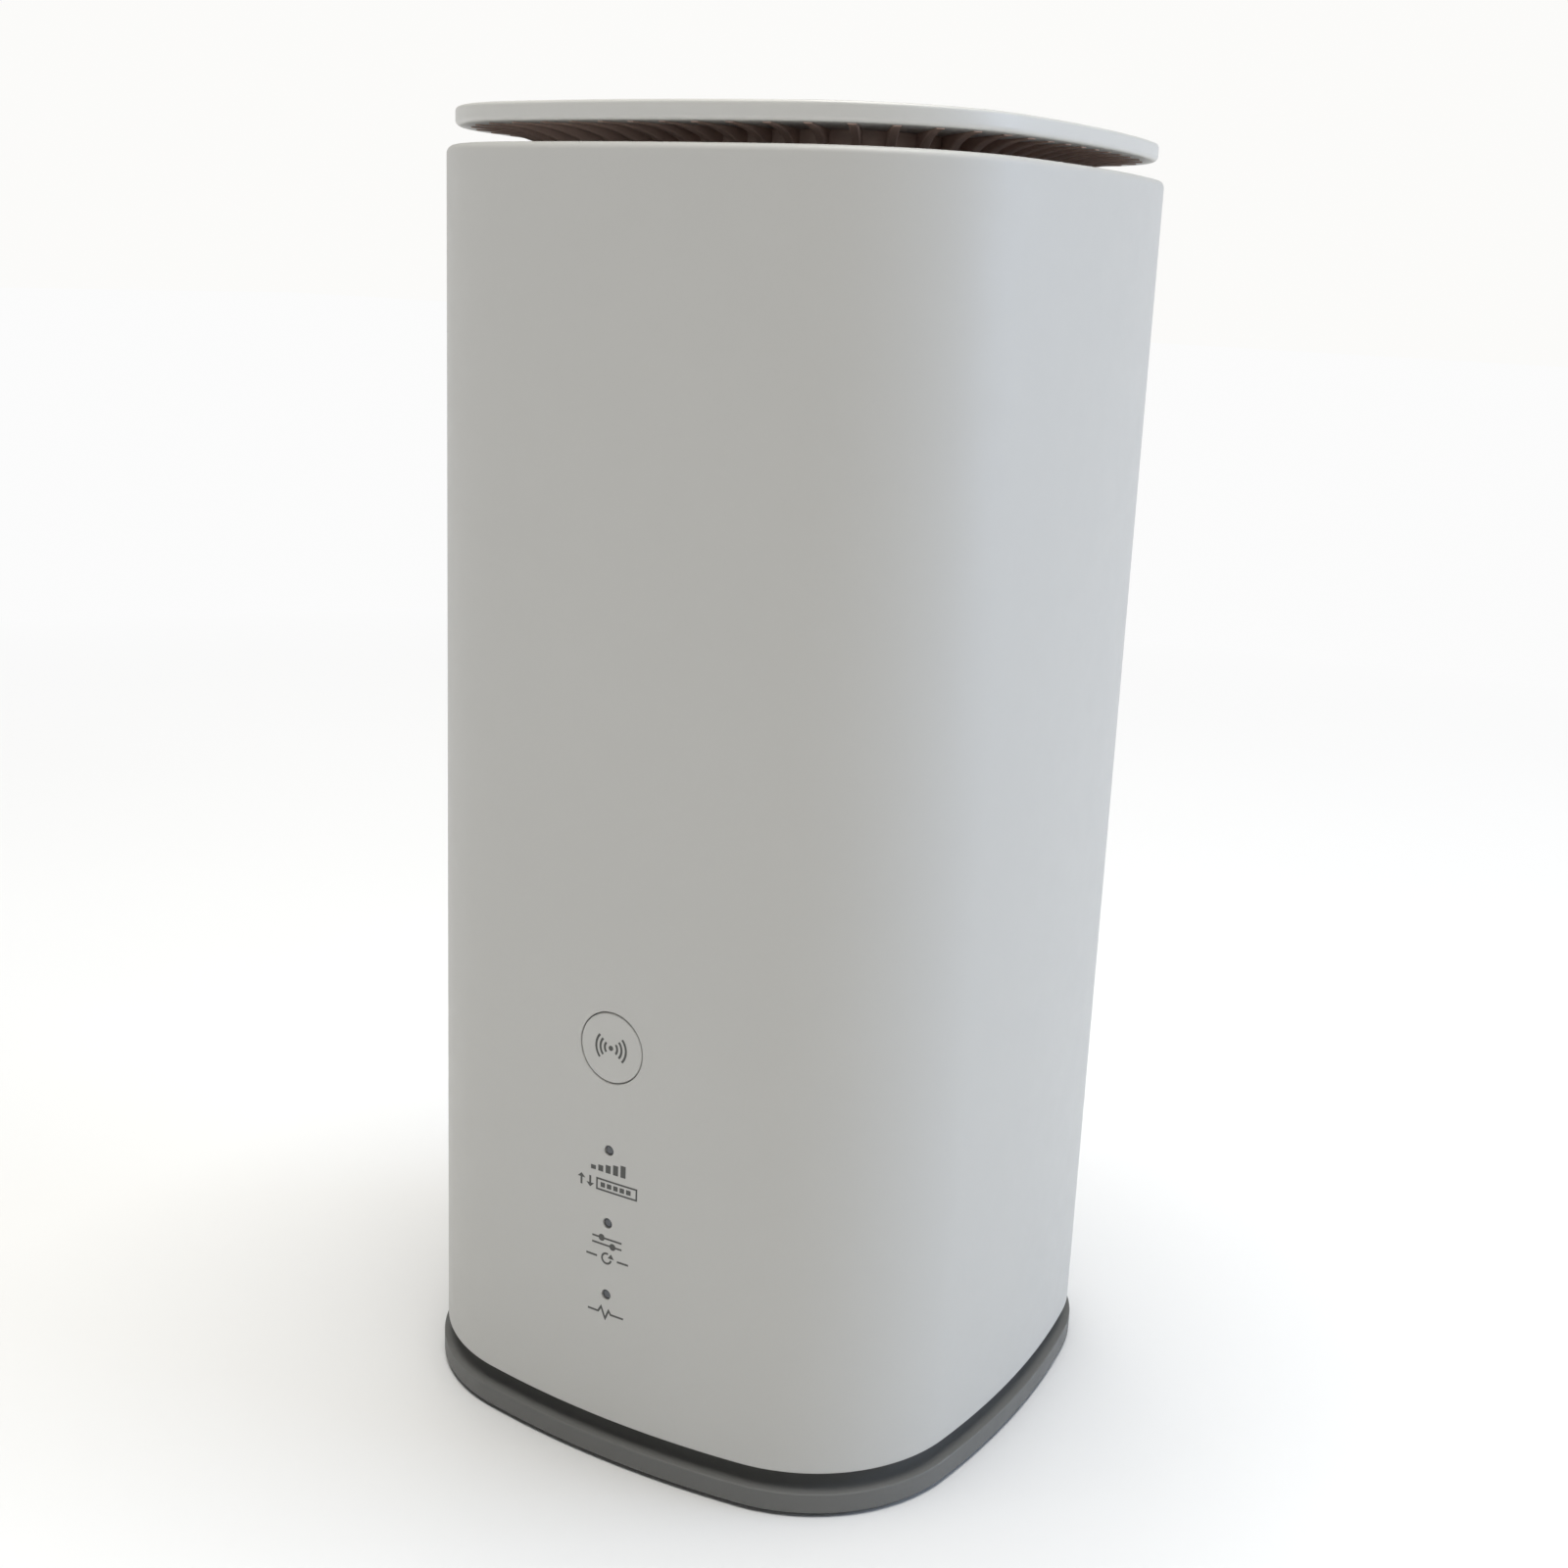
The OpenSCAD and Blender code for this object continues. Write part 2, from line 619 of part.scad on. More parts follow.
module light_guide() {
    bar_y = [-44.6, -43.4];
    color([0.35, 0.36, 0.38, 0.7]) {
        block([-2.2, 2.2], bar_y, [lamp_z - 3, lamp_heights[0] + 3]);
        for (z = [lamp_z - 2.2, lamp_heights[0] + 2.2])
            rod_y(0.8, 0, [bar_y[1] - 0.1, ui_y], z);
        for (z = lamp_heights) {
            rod_y(lamp_r - 0.05, 0, [-half + shell_inset + 0.25, bar_y[0] + 0.1], z);
            rod_y(1.2, 0, [bar_y[1] - 0.1, ui_y - 1], z);
        }
    }
}

module lamp(z) {
    color([0.95, 0.93, 0.75]) block([-1, 1], [ui_y - 0.8, ui_y], [z - 0.65, z + 0.65]);
}

module ui_socket() {
    color([0.92, 0.90, 0.82]) block([4.5, 9], [ui_y - 3, ui_y], [58, 63]);
}

module board_socket() {
    color([0.92, 0.90, 0.82]) block([board_right, board_right + 4], [-28, -23], [70, 75]);
}

module ui_cable() {
    route = [[6.75, -40.5, 63], [6.75, -41, 66], [7, -41.3, 72], [6.6, -41.2, 79], [5.5, -40.2, 85],
             [3.5, -36.5, 89], [0, -31.5, 89.5], [-3.5, -29.3, 86], [-4.8, -27, 80], [-4.8, -25.5, 75.5],
             [-4.8, -25.5, 75]];
    color([0.16, 0.16, 0.17]) tube(spline(route, 3), 0.9);
}

// ---- main board and cooling

module main_board() {
    color([0.09, 0.30, 0.22]) difference() {
        union() {
            block([board_x, board_right], [-31, 41], [16, 176]);
            block([board_x, board_right], [-20, -4], [6, 16.5]);
        }
        for (y = [-23, 23])
            for (z = [91, 157])
                rod_x(1.4, [board_x - 1, board_right + 1], y, z);
    }
}

// Pressed can with its lid's edge stepped in.
module can(x, y, z) {
    step = 0.4;
    low = min(x);
    high = max(x);
    lid_side = x[1] > x[0] ? [low, high - step] : [low + step, high];
    block([low, high], [y[0] + step, y[1] - step], [z[0] + step, z[1] - step]);
    block(lid_side, y, z);
}

module processor_shield() {
    color([0.75, 0.75, 0.74]) can([board_right, board_right + can_h], [-18, 18], [93, 130]);
}

module wifi_shield() {
    color([0.75, 0.75, 0.74]) can([board_right, board_right + can_h], [-18, 12], [134, 153]);
}

module modem_shield() {
    color([0.75, 0.75, 0.74]) can([board_x, board_x - can_h], [-19, 19], [62, 118]);
}

module radio_shield() {
    color([0.75, 0.75, 0.74]) can([board_x, board_x - can_h], [-18, 18], [124, 153]);
}

module thermal_pad_left() {
    x = board_x - can_h - pad_t;
    color([0.45, 0.55, 0.66]) {
        block([x, x + pad_t], [-17, 17], [64, 116]);
        block([x, x + pad_t], [-16, 16], [126, 151]);
    }
}

module thermal_pad_right() {
    x = board_right + can_h;
    color([0.45, 0.55, 0.66]) {
        block([x, x + pad_t], [-16, 16], [95, 128]);
        block([x, x + pad_t], [-16, 10], [136, 151]);
    }
}

// Extruded sink: plate from x = 0 to base_t, fins beyond it, over heights z. Its bosses stand on the board.
module heat_sink(z, fin_l, bosses, hole_r) {
    base_t = 2.5;
    fins = 7;
    fin_t = 1.2;
    fin_pitch = 6.2;
    difference() {
        union() {
            block([0, base_t], [-28, 28], z);
            for (i = [0 : fins - 1]) let (y = (i - (fins - 1) / 2) * fin_pitch)
                block([base_t - 0.1, base_t + fin_l], [y - fin_t / 2, y + fin_t / 2], z);
            for (b = bosses) rod_x(3, [-can_h - pad_t, 0.1], b.x, b.y);
        }
        for (b = bosses) rod_x(hole_r, [-can_h - pad_t - 1, base_t + 1], b.x, b.y);
    }
}

sink_bosses = [[-23, 91], [23, 91], [-23, 157], [23, 157]];
module heat_sink_left() {
    color([0.70, 0.71, 0.72]) translate([board_x - can_h - pad_t, 0, 0]) mirror([1, 0, 0])
        heat_sink([56, 162], 19, sink_bosses, 1.4);
}

module heat_sink_right() {
    color([0.70, 0.71, 0.72]) translate([board_right + can_h + pad_t, 0, 0])
        heat_sink([86, 162], 24, sink_bosses, 1.3);
}

module heat_sink_screws() {
    color([0.55, 0.55, 0.56])
        for (b = sink_bosses)
            translate([board_x - can_h - pad_t - 2.5 - 1.4, b.x, b.y]) rotate([0, 90, 0])
                screw(1.25, 2.5, 1.4, 12.5);
}

module sim_socket() {
    color([0.74, 0.74, 0.75]) difference() {
        block([board_right, board_right + 1.5], [-19.5, -4.5], [6, 20]);
        block([board_right + 0.4, board_right + 1.15], [-18.3, -5.9], [5, 18.4]);
    }
}

module power_inductors() {
    color([0.22, 0.22, 0.23])
        for (z = [24, 37])
            block([board_right, board_right + 5.5], [-14, -3], [z, z + 11]);
}

module bulk_capacitors() {
    color([0.20, 0.22, 0.30])
        for (y = [15.5, 25])
            rod_x(4, [board_right, board_right + 9], y, 22);
}

// ---- antennas

// Flexible antenna wrapped round the outside of a corner column.
module corner_foil(c, z) {
    color([0.10, 0.10, 0.11]) intersection() {
        difference() {
            prism(column_off + foil_t, z[0], z[1]);
            prism(column_off, z[0] - 1, z[1] + 1);
        }
        translate([c.x * 42, c.y * 42, (z[0] + z[1]) / 2]) cube([30, 30, z[1] - z[0] + 2], center = true);
    }
}

module wifi_antennas() {
    for (c = corners) corner_foil(c, [32, 74]);
}

// Lead from the foil behind corner c at height z0, through the column, to the board at height z1,
// passing the heat sink's edge at distance y from the middle.
module antenna_lead(c, z0, z1, y) {
    rise = z1 - z0;
    left = c.x < 0;
    plug_x = left ? [board_x - 1.9, board_x] : [board_right, board_right + 2.3];
    route = [[c.x * 36.8, c.y * 36.8, z0], [c.x * 34.6, c.y * 34.6, z0], [c.x * 32.4, c.y * 33.4, z0],
             [c.x * 28, c.y * y, z0 + rise * 0.2], [left ? -20 : 16, c.y * y, z0 + rise * 0.5],
             [left ? -12.5 : -1, c.y * (y - 0.7), z0 + rise * 0.85], [left ? -9.7 : -4.6, c.y * 28.2, z1],
             [left ? -9.5 : -5.1, c.y * 25, z1]];
    tube(spline(route, 2), 0.55);
    rod_x(1.2, plug_x, c.y * 25, z1);
}

module antenna_leads() {
    color([0.88, 0.88, 0.86])
        for (c = corners) {
            antenna_lead(c, lead_z, c.x < 0 ? 118 : 112, 32.4);
            antenna_lead(c, wifi_lead_z, c.x < 0 ? 128 : 142, 30.8);
        }
}

outer_shell();
top_lid();
vent_grille();
base_housing();
base_plate();
foot([-1, -1]);  // foot_front_left
foot([1, -1]);  // foot_front_right
foot([-1, 1]);  // foot_rear_left
foot([1, 1]);  // foot_rear_right
base_screws();
rating_plate();
sim_cover();
port_panel();
panel_screws();
inner_frame();
frame_screws();
grille_screws();
wps_button();
wps_switch();
wps_plunger();
ui_board();
ui_screws();
light_guide();
lamp(lamp_heights[0]);  // lamp_signal
lamp(lamp_heights[1]);  // lamp_mode
lamp(lamp_heights[2]);  // lamp_status
ui_socket();
board_socket();
ui_cable();
main_board();
processor_shield();
wifi_shield();
modem_shield();
radio_shield();
thermal_pad_left();
thermal_pad_right();
heat_sink_left();
heat_sink_right();
heat_sink_screws();
lan_jack(lan_heights[0]);  // lan_jack_lower
lan_jack(lan_heights[1]);  // lan_jack_upper
lan_shield(lan_heights[0]);  // lan_shield_lower
lan_shield(lan_heights[1]);  // lan_shield_upper
lan_contacts(lan_heights[0]);  // lan_contacts_lower
lan_contacts(lan_heights[1]);  // lan_contacts_upper
lan_magnetics();
dc_inlet();
dc_pin();
reset_switch();
reset_plunger();
sim_socket();
power_inductors();
bulk_capacitors();
corner_foil([-1, -1], [92, 176]);  // antenna_front_left
corner_foil([1, -1], [92, 176]);  // antenna_front_right
corner_foil([-1, 1], [92, 176]);  // antenna_rear_left
corner_foil([1, 1], [92, 176]);  // antenna_rear_right
wifi_antennas();
antenna_leads();
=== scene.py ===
"""Tower home gateway: bowed white shell, floating lid over a ring of vent ribs, grey base."""
import json
import math

import bmesh
import bpy
import numpy as np
from mathutils import Matrix, Vector


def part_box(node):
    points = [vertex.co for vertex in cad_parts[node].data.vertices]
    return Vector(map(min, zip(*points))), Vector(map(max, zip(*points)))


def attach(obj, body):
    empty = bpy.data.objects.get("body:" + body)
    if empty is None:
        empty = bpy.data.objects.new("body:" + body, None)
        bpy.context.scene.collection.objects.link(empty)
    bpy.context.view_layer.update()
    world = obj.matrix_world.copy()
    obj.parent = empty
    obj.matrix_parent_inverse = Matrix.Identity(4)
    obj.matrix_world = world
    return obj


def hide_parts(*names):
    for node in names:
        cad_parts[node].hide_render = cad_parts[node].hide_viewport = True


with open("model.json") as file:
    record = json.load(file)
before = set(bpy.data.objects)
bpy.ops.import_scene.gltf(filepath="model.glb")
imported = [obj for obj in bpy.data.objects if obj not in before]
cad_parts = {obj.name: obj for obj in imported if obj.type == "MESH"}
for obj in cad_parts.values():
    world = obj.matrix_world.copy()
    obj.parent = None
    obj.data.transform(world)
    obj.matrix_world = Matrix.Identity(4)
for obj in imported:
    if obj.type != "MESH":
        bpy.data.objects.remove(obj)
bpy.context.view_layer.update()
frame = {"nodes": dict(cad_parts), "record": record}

MM = 0.001

# ---------------------------------------------------------------- camera

AZIMUTH, ELEVATION, ROLL = (math.radians(a) for a in (30.22, 14.76, 2.48))
back = Vector((math.sin(AZIMUTH) * math.cos(ELEVATION), -math.cos(AZIMUTH) * math.cos(ELEVATION), math.sin(ELEVATION)))
right = (-back).cross(Vector((0, 0, 1))).normalized()
up = right.cross(-back)
right, up = (math.cos(ROLL) * right + math.sin(ROLL) * up, -math.sin(ROLL) * right + math.cos(ROLL) * up)
cam_data = bpy.data.cameras.new("camera")
cam_data.lens = 44.9
cam_data.sensor_width = 36
cam_data.clip_start, cam_data.clip_end = 0.01, 50
camera = bpy.data.objects.new("camera", cam_data)
camera.matrix_world = Matrix.Translation((0.1601, -0.2758, 0.1858)) @ Matrix((right, up, back)).transposed().to_4x4()
bpy.context.scene.collection.objects.link(camera)
bpy.context.scene.camera = camera
bpy.context.scene.view_settings.view_transform = "Standard"

# ---------------------------------------------------------------- sizes, in millimetres, as in the CAD

HALF, SIDE_R, CORNER_R = 50.0, 163.0, 28.3
SIDE_C = SIDE_R - HALF
CORNER_C = (-2 * SIDE_C + math.sqrt(4 * SIDE_C ** 2 - 8 * (SIDE_C ** 2 - (SIDE_R - CORNER_R) ** 2))) / 4
SIDE_A = math.atan2(CORNER_C, CORNER_C + SIDE_C)
SHELL_OFF, WALL, SHELL_Z = -0.4, 2.4, 7.0
BODY_H, LID_T, LID_GAP, LID_OFF = 207.0, 2.65, 2.85, -1.7
LID_Z = BODY_H - LID_T
RIM_Z = LID_Z - LID_GAP
LIP_Z = RIM_Z - 3.5
LEDGE_OFF = LID_OFF - 2.4
RIB_REACH, RIB_DROP, RIB_T, RIB_COUNT, RIB_SWIRL = 12.2, 4.3, 1.3, 56, 10
SKIRT_OFF = LEDGE_OFF - RIB_REACH
BUTTON_R, BUTTON_Z = 5.6, 70.5
LAMPS = (53.6, 41.3, 29.0)
LAMP_R = 0.85
PANEL_Y, PANEL_FACE = 42.5, 44.1
PANEL_Z0, PANEL_Z1 = 13.8, 90.0
FRONT_Y = -(HALF + SHELL_OFF)


def outline(side=18, corner=42):
    """Points of the body outline at offset 0, and its outward normals, anticlockwise."""
    pts, nrm = [], []
    for q in range(4):
        arcs = [(-SIDE_C, 0, SIDE_R, -SIDE_A + 2 * SIDE_A * i / side) for i in range(side)]
        arcs += [(CORNER_C, CORNER_C, CORNER_R, SIDE_A + (math.pi / 2 - 2 * SIDE_A) * i / corner) for i in range(corner)]
        for cx, cy, r, a in arcs:
            p = Vector((cx + r * math.cos(a), cy + r * math.sin(a)))
            n = Vector((math.cos(a), math.sin(a)))
            turn = Matrix.Rotation(q * math.pi / 2, 2)
            pts.append(turn @ p)
            nrm.append(turn @ n)
    return pts, nrm


RING, NORMALS = outline()
N = len(RING)


def ring_points(off, z):
    return [((p.x + n.x * off) * MM, (p.y + n.y * off) * MM, z * MM) for p, n in zip(RING, NORMALS)]


# ---------------------------------------------------------------- mesh helpers

def mesh_object(name, verts, faces, smooth=None):
    """Mesh object in the row frame. smooth is the angle, in degrees, above which an edge stays sharp."""
    me = bpy.data.meshes.new(name)
    me.from_pydata(verts, [], faces)
    me.validate()
    ob = bpy.data.objects.new(name, me)
    bpy.context.scene.collection.objects.link(ob)
    bm = bmesh.new()
    bm.from_mesh(me)
    bmesh.ops.remove_doubles(bm, verts=bm.verts, dist=1e-7)
    bmesh.ops.recalc_face_normals(bm, faces=bm.faces)
    bm.to_mesh(me)
    bm.free()
    if smooth is not None:
        soften(ob, smooth)
    return ob


def soften(ob, angle=35):
    me = ob.data
    me.shade_smooth()
    me.set_sharp_from_angle(angle=math.radians(angle))


def loft(name, profile, closed=False, smooth=35):
    """Solid through outlines at (offset, height) points in mm, with a cap at each end unless the profile closes."""
    verts, faces = [], []
    for off, z in profile:
        verts += ring_points(off, z)
    last = len(profile)
    for k in range(last if closed else last - 1):
        a, b = k * N, (k + 1) % last * N
        for i in range(N):
            j = (i + 1) % N
            faces.append((a + i, a + j, b + j, b + i))
    if not closed:
        faces.append(tuple(reversed(range(N))))
        faces.append(tuple(range((last - 1) * N, last * N)))
    return mesh_object(name, verts, faces, smooth)


def arc(cx, cz, r, a0, a1, steps):
    """Points of a fillet in a profile, angles in degrees."""
    return [(cx + r * math.cos(math.radians(a0 + (a1 - a0) * i / steps)),
             cz + r * math.sin(math.radians(a0 + (a1 - a0) * i / steps))) for i in range(steps + 1)]


def lathe(name, profile, origin, axis="Z", steps=64, smooth=35):
    """Solid turned from (radius, height) points in mm about an axis through origin. Heights run along the axis."""
    verts, faces = [], []
    o = Vector(origin)
    for r, h in profile:
        for i in range(steps):
            a = 2 * math.pi * i / steps
            u, v = r * math.cos(a), r * math.sin(a)
            p = {"Z": (u, v, h), "Y": (v, h, u), "-Y": (u, -h, v), "-Z": (v, u, -h), "X": (h, u, v)}[axis]
            verts.append(tuple((o + Vector(p)) * MM))
    last = len(profile)
    for k in range(last - 1):
        for i in range(steps):
            j = (i + 1) % steps
            faces.append((k * steps + i, k * steps + j, (k + 1) * steps + j, (k + 1) * steps + i))
    faces.append(tuple(reversed(range(steps))))
    faces.append(tuple(range((last - 1) * steps, last * steps)))
    return mesh_object(name, verts, faces, smooth)


def box(name, x, y, z, bevel=0.0, segments=3):
    """Box between two limits on each axis, in mm, with its edges rounded."""
    bm = bmesh.new()
    bmesh.ops.create_cube(bm, size=1)
    for v in bm.verts:
        v.co = Vector([(l[0] + l[1]) / 2 + c * (l[1] - l[0]) for l, c in zip((x, y, z), v.co)]) * MM
    if bevel:
        bmesh.ops.bevel(bm, geom=list(bm.edges), offset=bevel * MM, segments=segments, profile=0.5, affect="EDGES")
    me = bpy.data.meshes.new(name)
    bm.to_mesh(me)
    bm.free()
    ob = bpy.data.objects.new(name, me)
    bpy.context.scene.collection.objects.link(ob)
    if bevel:
        soften(ob, 40)
    return ob


def slab(name, loop, lo, hi, axis="Y", bevel=0.0):
    """Closed loop of 2-D points in mm pushed from lo to hi along an axis: (x, z) for Y, (x, y) for Z."""
    place = {"Y": lambda p, h: (p[0], h, p[1]), "Z": lambda p, h: (p[0], p[1], h)}[axis]
    n = len(loop)
    verts = [tuple(Vector(place(p, h)) * MM) for h in (lo, hi) for p in loop]
    faces = [tuple(range(n)), tuple(reversed(range(n, 2 * n)))]
    faces += [(i, i + n, (i + 1) % n + n, (i + 1) % n) for i in range(n)]
    ob = mesh_object(name, verts, faces)
    if bevel:
        round_edges(ob, bevel)
    return ob


def round_edges(ob, width, segments=3, angle=40):
    """Rounds the sharp edges of a mesh and keeps the result in the mesh."""
    m = ob.modifiers.new("edges", "BEVEL")
    m.width, m.segments, m.limit_method, m.angle_limit = width * MM, segments, "ANGLE", math.radians(angle)
    m.harden_normals = False
    apply_modifiers(ob)
    soften(ob, 40)


def apply_modifiers(ob):
    dg = bpy.context.evaluated_depsgraph_get()
    me = bpy.data.meshes.new_from_object(ob.evaluated_get(dg), depsgraph=dg)
    old = ob.data
    ob.modifiers.clear()
    ob.data = me
    bpy.data.meshes.remove(old)


def cut(ob, *tools):
    """Cuts the tools out of a mesh and removes them."""
    for t in tools:
        m = ob.modifiers.new("cut", "BOOLEAN")
        m.operation, m.solver, m.object = "DIFFERENCE", "EXACT", t
        apply_modifiers(ob)
        bpy.data.objects.remove(t)


def join(name, obs):
    """One mesh object from several."""
    bm = bmesh.new()
    for o in obs:
        bm.from_mesh(o.data)
    me = bpy.data.meshes.new(name)
    bm.to_mesh(me)
    bm.free()
    out = bpy.data.objects.new(name, me)
    bpy.context.scene.collection.objects.link(out)
    for o in obs:
        bpy.data.objects.remove(o)
    soften(out, 40)
    return out


def round_rect(x0, x1, z0, z1, r, steps=8):
    """Corner-rounded rectangle as a closed loop of 2-D points."""
    pts = []
    for cx, cz, a in ((x1 - r, z1 - r, 0), (x0 + r, z1 - r, 90), (x0 + r, z0 + r, 180), (x1 - r, z0 + r, 270)):
        pts += arc(cx, cz, r, a, a + 90, steps)
    return pts


# ---------------------------------------------------------------- materials

def new_material(name):
    m = bpy.data.materials.new(name)
    m.use_nodes = True
    nt = m.node_tree
    return m, nt, nt.nodes["Principled BSDF"]


def noise(nt, scale, detail=2.0, rough=0.5, kind="ShaderNodeTexNoise", coords=None, stretch=None):
    tex = nt.nodes.new(kind)
    tex.inputs["Scale"].default_value = scale
    if "Detail" in tex.inputs:
        tex.inputs["Detail"].default_value = detail
    if "Roughness" in tex.inputs:
        tex.inputs["Roughness"].default_value = rough
    tc = nt.nodes.new("ShaderNodeTexCoord")
    src = tc.outputs["Object"]
    if stretch:
        mp = nt.nodes.new("ShaderNodeMapping")
        mp.inputs["Scale"].default_value = stretch
        nt.links.new(src, mp.inputs["Vector"])
        src = mp.outputs["Vector"]
    nt.links.new(src, tex.inputs["Vector"])
    return tex


def ranged(nt, source, lo, hi, from_lo=0.0, from_hi=1.0):
    mr = nt.nodes.new("ShaderNodeMapRange")
    mr.inputs["From Min"].default_value, mr.inputs["From Max"].default_value = from_lo, from_hi
    mr.inputs["To Min"].default_value, mr.inputs["To Max"].default_value = lo, hi
    nt.links.new(source, mr.inputs["Value"])
    return mr.outputs["Result"]


def blend_colour(nt, factor, a, b):
    mix = nt.nodes.new("ShaderNodeMix")
    mix.data_type = "RGBA"
    for socket, value in ((mix.inputs[6], a), (mix.inputs[7], b)):
        if hasattr(value, "links") or hasattr(value, "is_linked"):
            nt.links.new(value, socket)
        else:
            socket.default_value = (*value, 1)
    nt.links.new(factor, mix.inputs[0])
    return mix.outputs[2]


def add_bump(nt, bsdf, layers):
    """layers are (height socket, strength, distance in mm)."""
    previous = None
    for height, strength, distance in layers:
        b = nt.nodes.new("ShaderNodeBump")
        b.inputs["Strength"].default_value = strength
        b.inputs["Distance"].default_value = distance * MM
        nt.links.new(height, b.inputs["Height"])
        if previous:
            nt.links.new(previous, b.inputs["Normal"])
        previous = b.outputs["Normal"]
    nt.links.new(previous, bsdf.inputs["Normal"])


def plastic(name, colour, vary=0.04, rough=(0.4, 0.5), grain=1600, bump=0.15, depth=0.02, specks=None, wear=None,
            specular=0.5, coat=0.0):
    """Moulded plastic: fine texture in the surface, slow change in tone, roughness that follows the grain."""
    m, nt, bsdf = new_material(name)
    slow = noise(nt, 28, 3, 0.6)
    fine = noise(nt, grain, 2, 0.6)
    cloud = noise(nt, 190, 4, 0.65)
    dark = tuple(c * (1 - vary) for c in colour)
    tone = blend_colour(nt, ranged(nt, slow.outputs["Fac"], 0, 1, 0.3, 0.7), dark, colour)
    tone = blend_colour(nt, ranged(nt, fine.outputs["Fac"], 0, 0.35, 0.35, 0.75), tone, tuple(c * (1 - 2 * vary) for c in colour))
    if specks:
        spots = noise(nt, specks[0], kind="ShaderNodeTexVoronoi")
        tone = blend_colour(nt, ranged(nt, spots.outputs["Distance"], specks[1], 0, 0.03, 0.07), tone, specks[2])
    if wear:
        edge = nt.nodes.new("ShaderNodeNewGeometry")
        worn = nt.nodes.new("ShaderNodeMath")
        worn.operation = "MULTIPLY"
        nt.links.new(ranged(nt, edge.outputs["Pointiness"], 0, 1, 0.52, 0.60), worn.inputs[0])
        nt.links.new(ranged(nt, cloud.outputs["Fac"], 0, 0.7, 0.35, 0.7), worn.inputs[1])
        tone = blend_colour(nt, worn.outputs[0], tone, wear)
    nt.links.new(tone, bsdf.inputs["Base Color"])
    nt.links.new(ranged(nt, cloud.outputs["Fac"], rough[0], rough[1], 0.3, 0.7), bsdf.inputs["Roughness"])
    bsdf.inputs["Specular IOR Level"].default_value = specular
    if coat:
        bsdf.inputs["Coat Weight"].default_value = coat
        bsdf.inputs["Coat Roughness"].default_value = 0.2
    add_bump(nt, bsdf, [(cloud.outputs["Fac"], 0.08, 0.03), (fine.outputs["Fac"], bump, depth)])
    return m


def metal(name, colour, rough=(0.25, 0.45), stretch=(1, 1, 1), scale=900, bump=0.1, stain=0.15):
    """Plated or rolled metal: fine directional grain, cloudy stain, uneven polish."""
    m, nt, bsdf = new_material(name)
    grain = noise(nt, scale, 3, 0.6, stretch=stretch)
    cloud = noise(nt, 120, 4, 0.6)
    tone = blend_colour(nt, ranged(nt, cloud.outputs["Fac"], 0, 1, 0.35, 0.7), colour, tuple(c * (1 - stain) for c in colour))
    nt.links.new(tone, bsdf.inputs["Base Color"])
    bsdf.inputs["Metallic"].default_value = 1.0
    nt.links.new(ranged(nt, grain.outputs["Fac"], rough[0], rough[1], 0.3, 0.7), bsdf.inputs["Roughness"])
    add_bump(nt, bsdf, [(cloud.outputs["Fac"], 0.05, 0.02), (grain.outputs["Fac"], bump, 0.008)])
    return m


def rubber(name, colour, rough=(0.65, 0.85), scale=700, bump=0.3):
    m, nt, bsdf = new_material(name)
    grain = noise(nt, scale, 4, 0.7)
    dust = noise(nt, 60, 5, 0.7)
    light = tuple(min(1, c * 1.6 + 0.02) for c in colour)
    tone = blend_colour(nt, ranged(nt, dust.outputs["Fac"], 0, 0.6, 0.45, 0.75), colour, light)
    nt.links.new(tone, bsdf.inputs["Base Color"])
    nt.links.new(ranged(nt, grain.outputs["Fac"], rough[0], rough[1], 0.3, 0.7), bsdf.inputs["Roughness"])
    bsdf.inputs["Specular IOR Level"].default_value = 0.3
    add_bump(nt, bsdf, [(grain.outputs["Fac"], bump, 0.03)])
    return m


def board(name, colour, copper):
    """Solder mask over copper: tracks show as a slightly lighter, raised pattern."""
    m, nt, bsdf = new_material(name)
    tracks = noise(nt, 300, kind="ShaderNodeTexBrick")
    for key in ("Color1", "Color2"):
        tracks.inputs[key].default_value = (0, 0, 0, 1)
    tracks.inputs["Mortar"].default_value = (1, 1, 1, 1)
    tracks.inputs["Mortar Size"].default_value = 0.06
    fine = noise(nt, 1500, 2, 0.5)
    slow = noise(nt, 40, 3, 0.5)
    tone = blend_colour(nt, tracks.outputs["Fac"], colour, copper)
    tone = blend_colour(nt, ranged(nt, slow.outputs["Fac"], 0, 0.5), tone, tuple(c * 0.7 for c in colour))
    nt.links.new(tone, bsdf.inputs["Base Color"])
    nt.links.new(ranged(nt, fine.outputs["Fac"], 0.3, 0.42), bsdf.inputs["Roughness"])
    bsdf.inputs["Coat Weight"].default_value = 0.3
    add_bump(nt, bsdf, [(tracks.outputs["Fac"], 0.4, 0.03), (fine.outputs["Fac"], 0.1, 0.01)])
    return m


def smoked(name, colour, transmission=0.5):
    m, nt, bsdf = new_material(name)
    fine = noise(nt, 900, 2, 0.5)
    slow = noise(nt, 150, 2, 0.5)
    tone = blend_colour(nt, ranged(nt, slow.outputs["Fac"], 0, 1), colour, tuple(c * 0.8 for c in colour))
    nt.links.new(tone, bsdf.inputs["Base Color"])
    nt.links.new(ranged(nt, fine.outputs["Fac"], 0.12, 0.28), bsdf.inputs["Roughness"])
    bsdf.inputs["Transmission Weight"].default_value = transmission
    bsdf.inputs["IOR"].default_value = 1.49
    add_bump(nt, bsdf, [(fine.outputs["Fac"], 0.06, 0.01)])
    return m


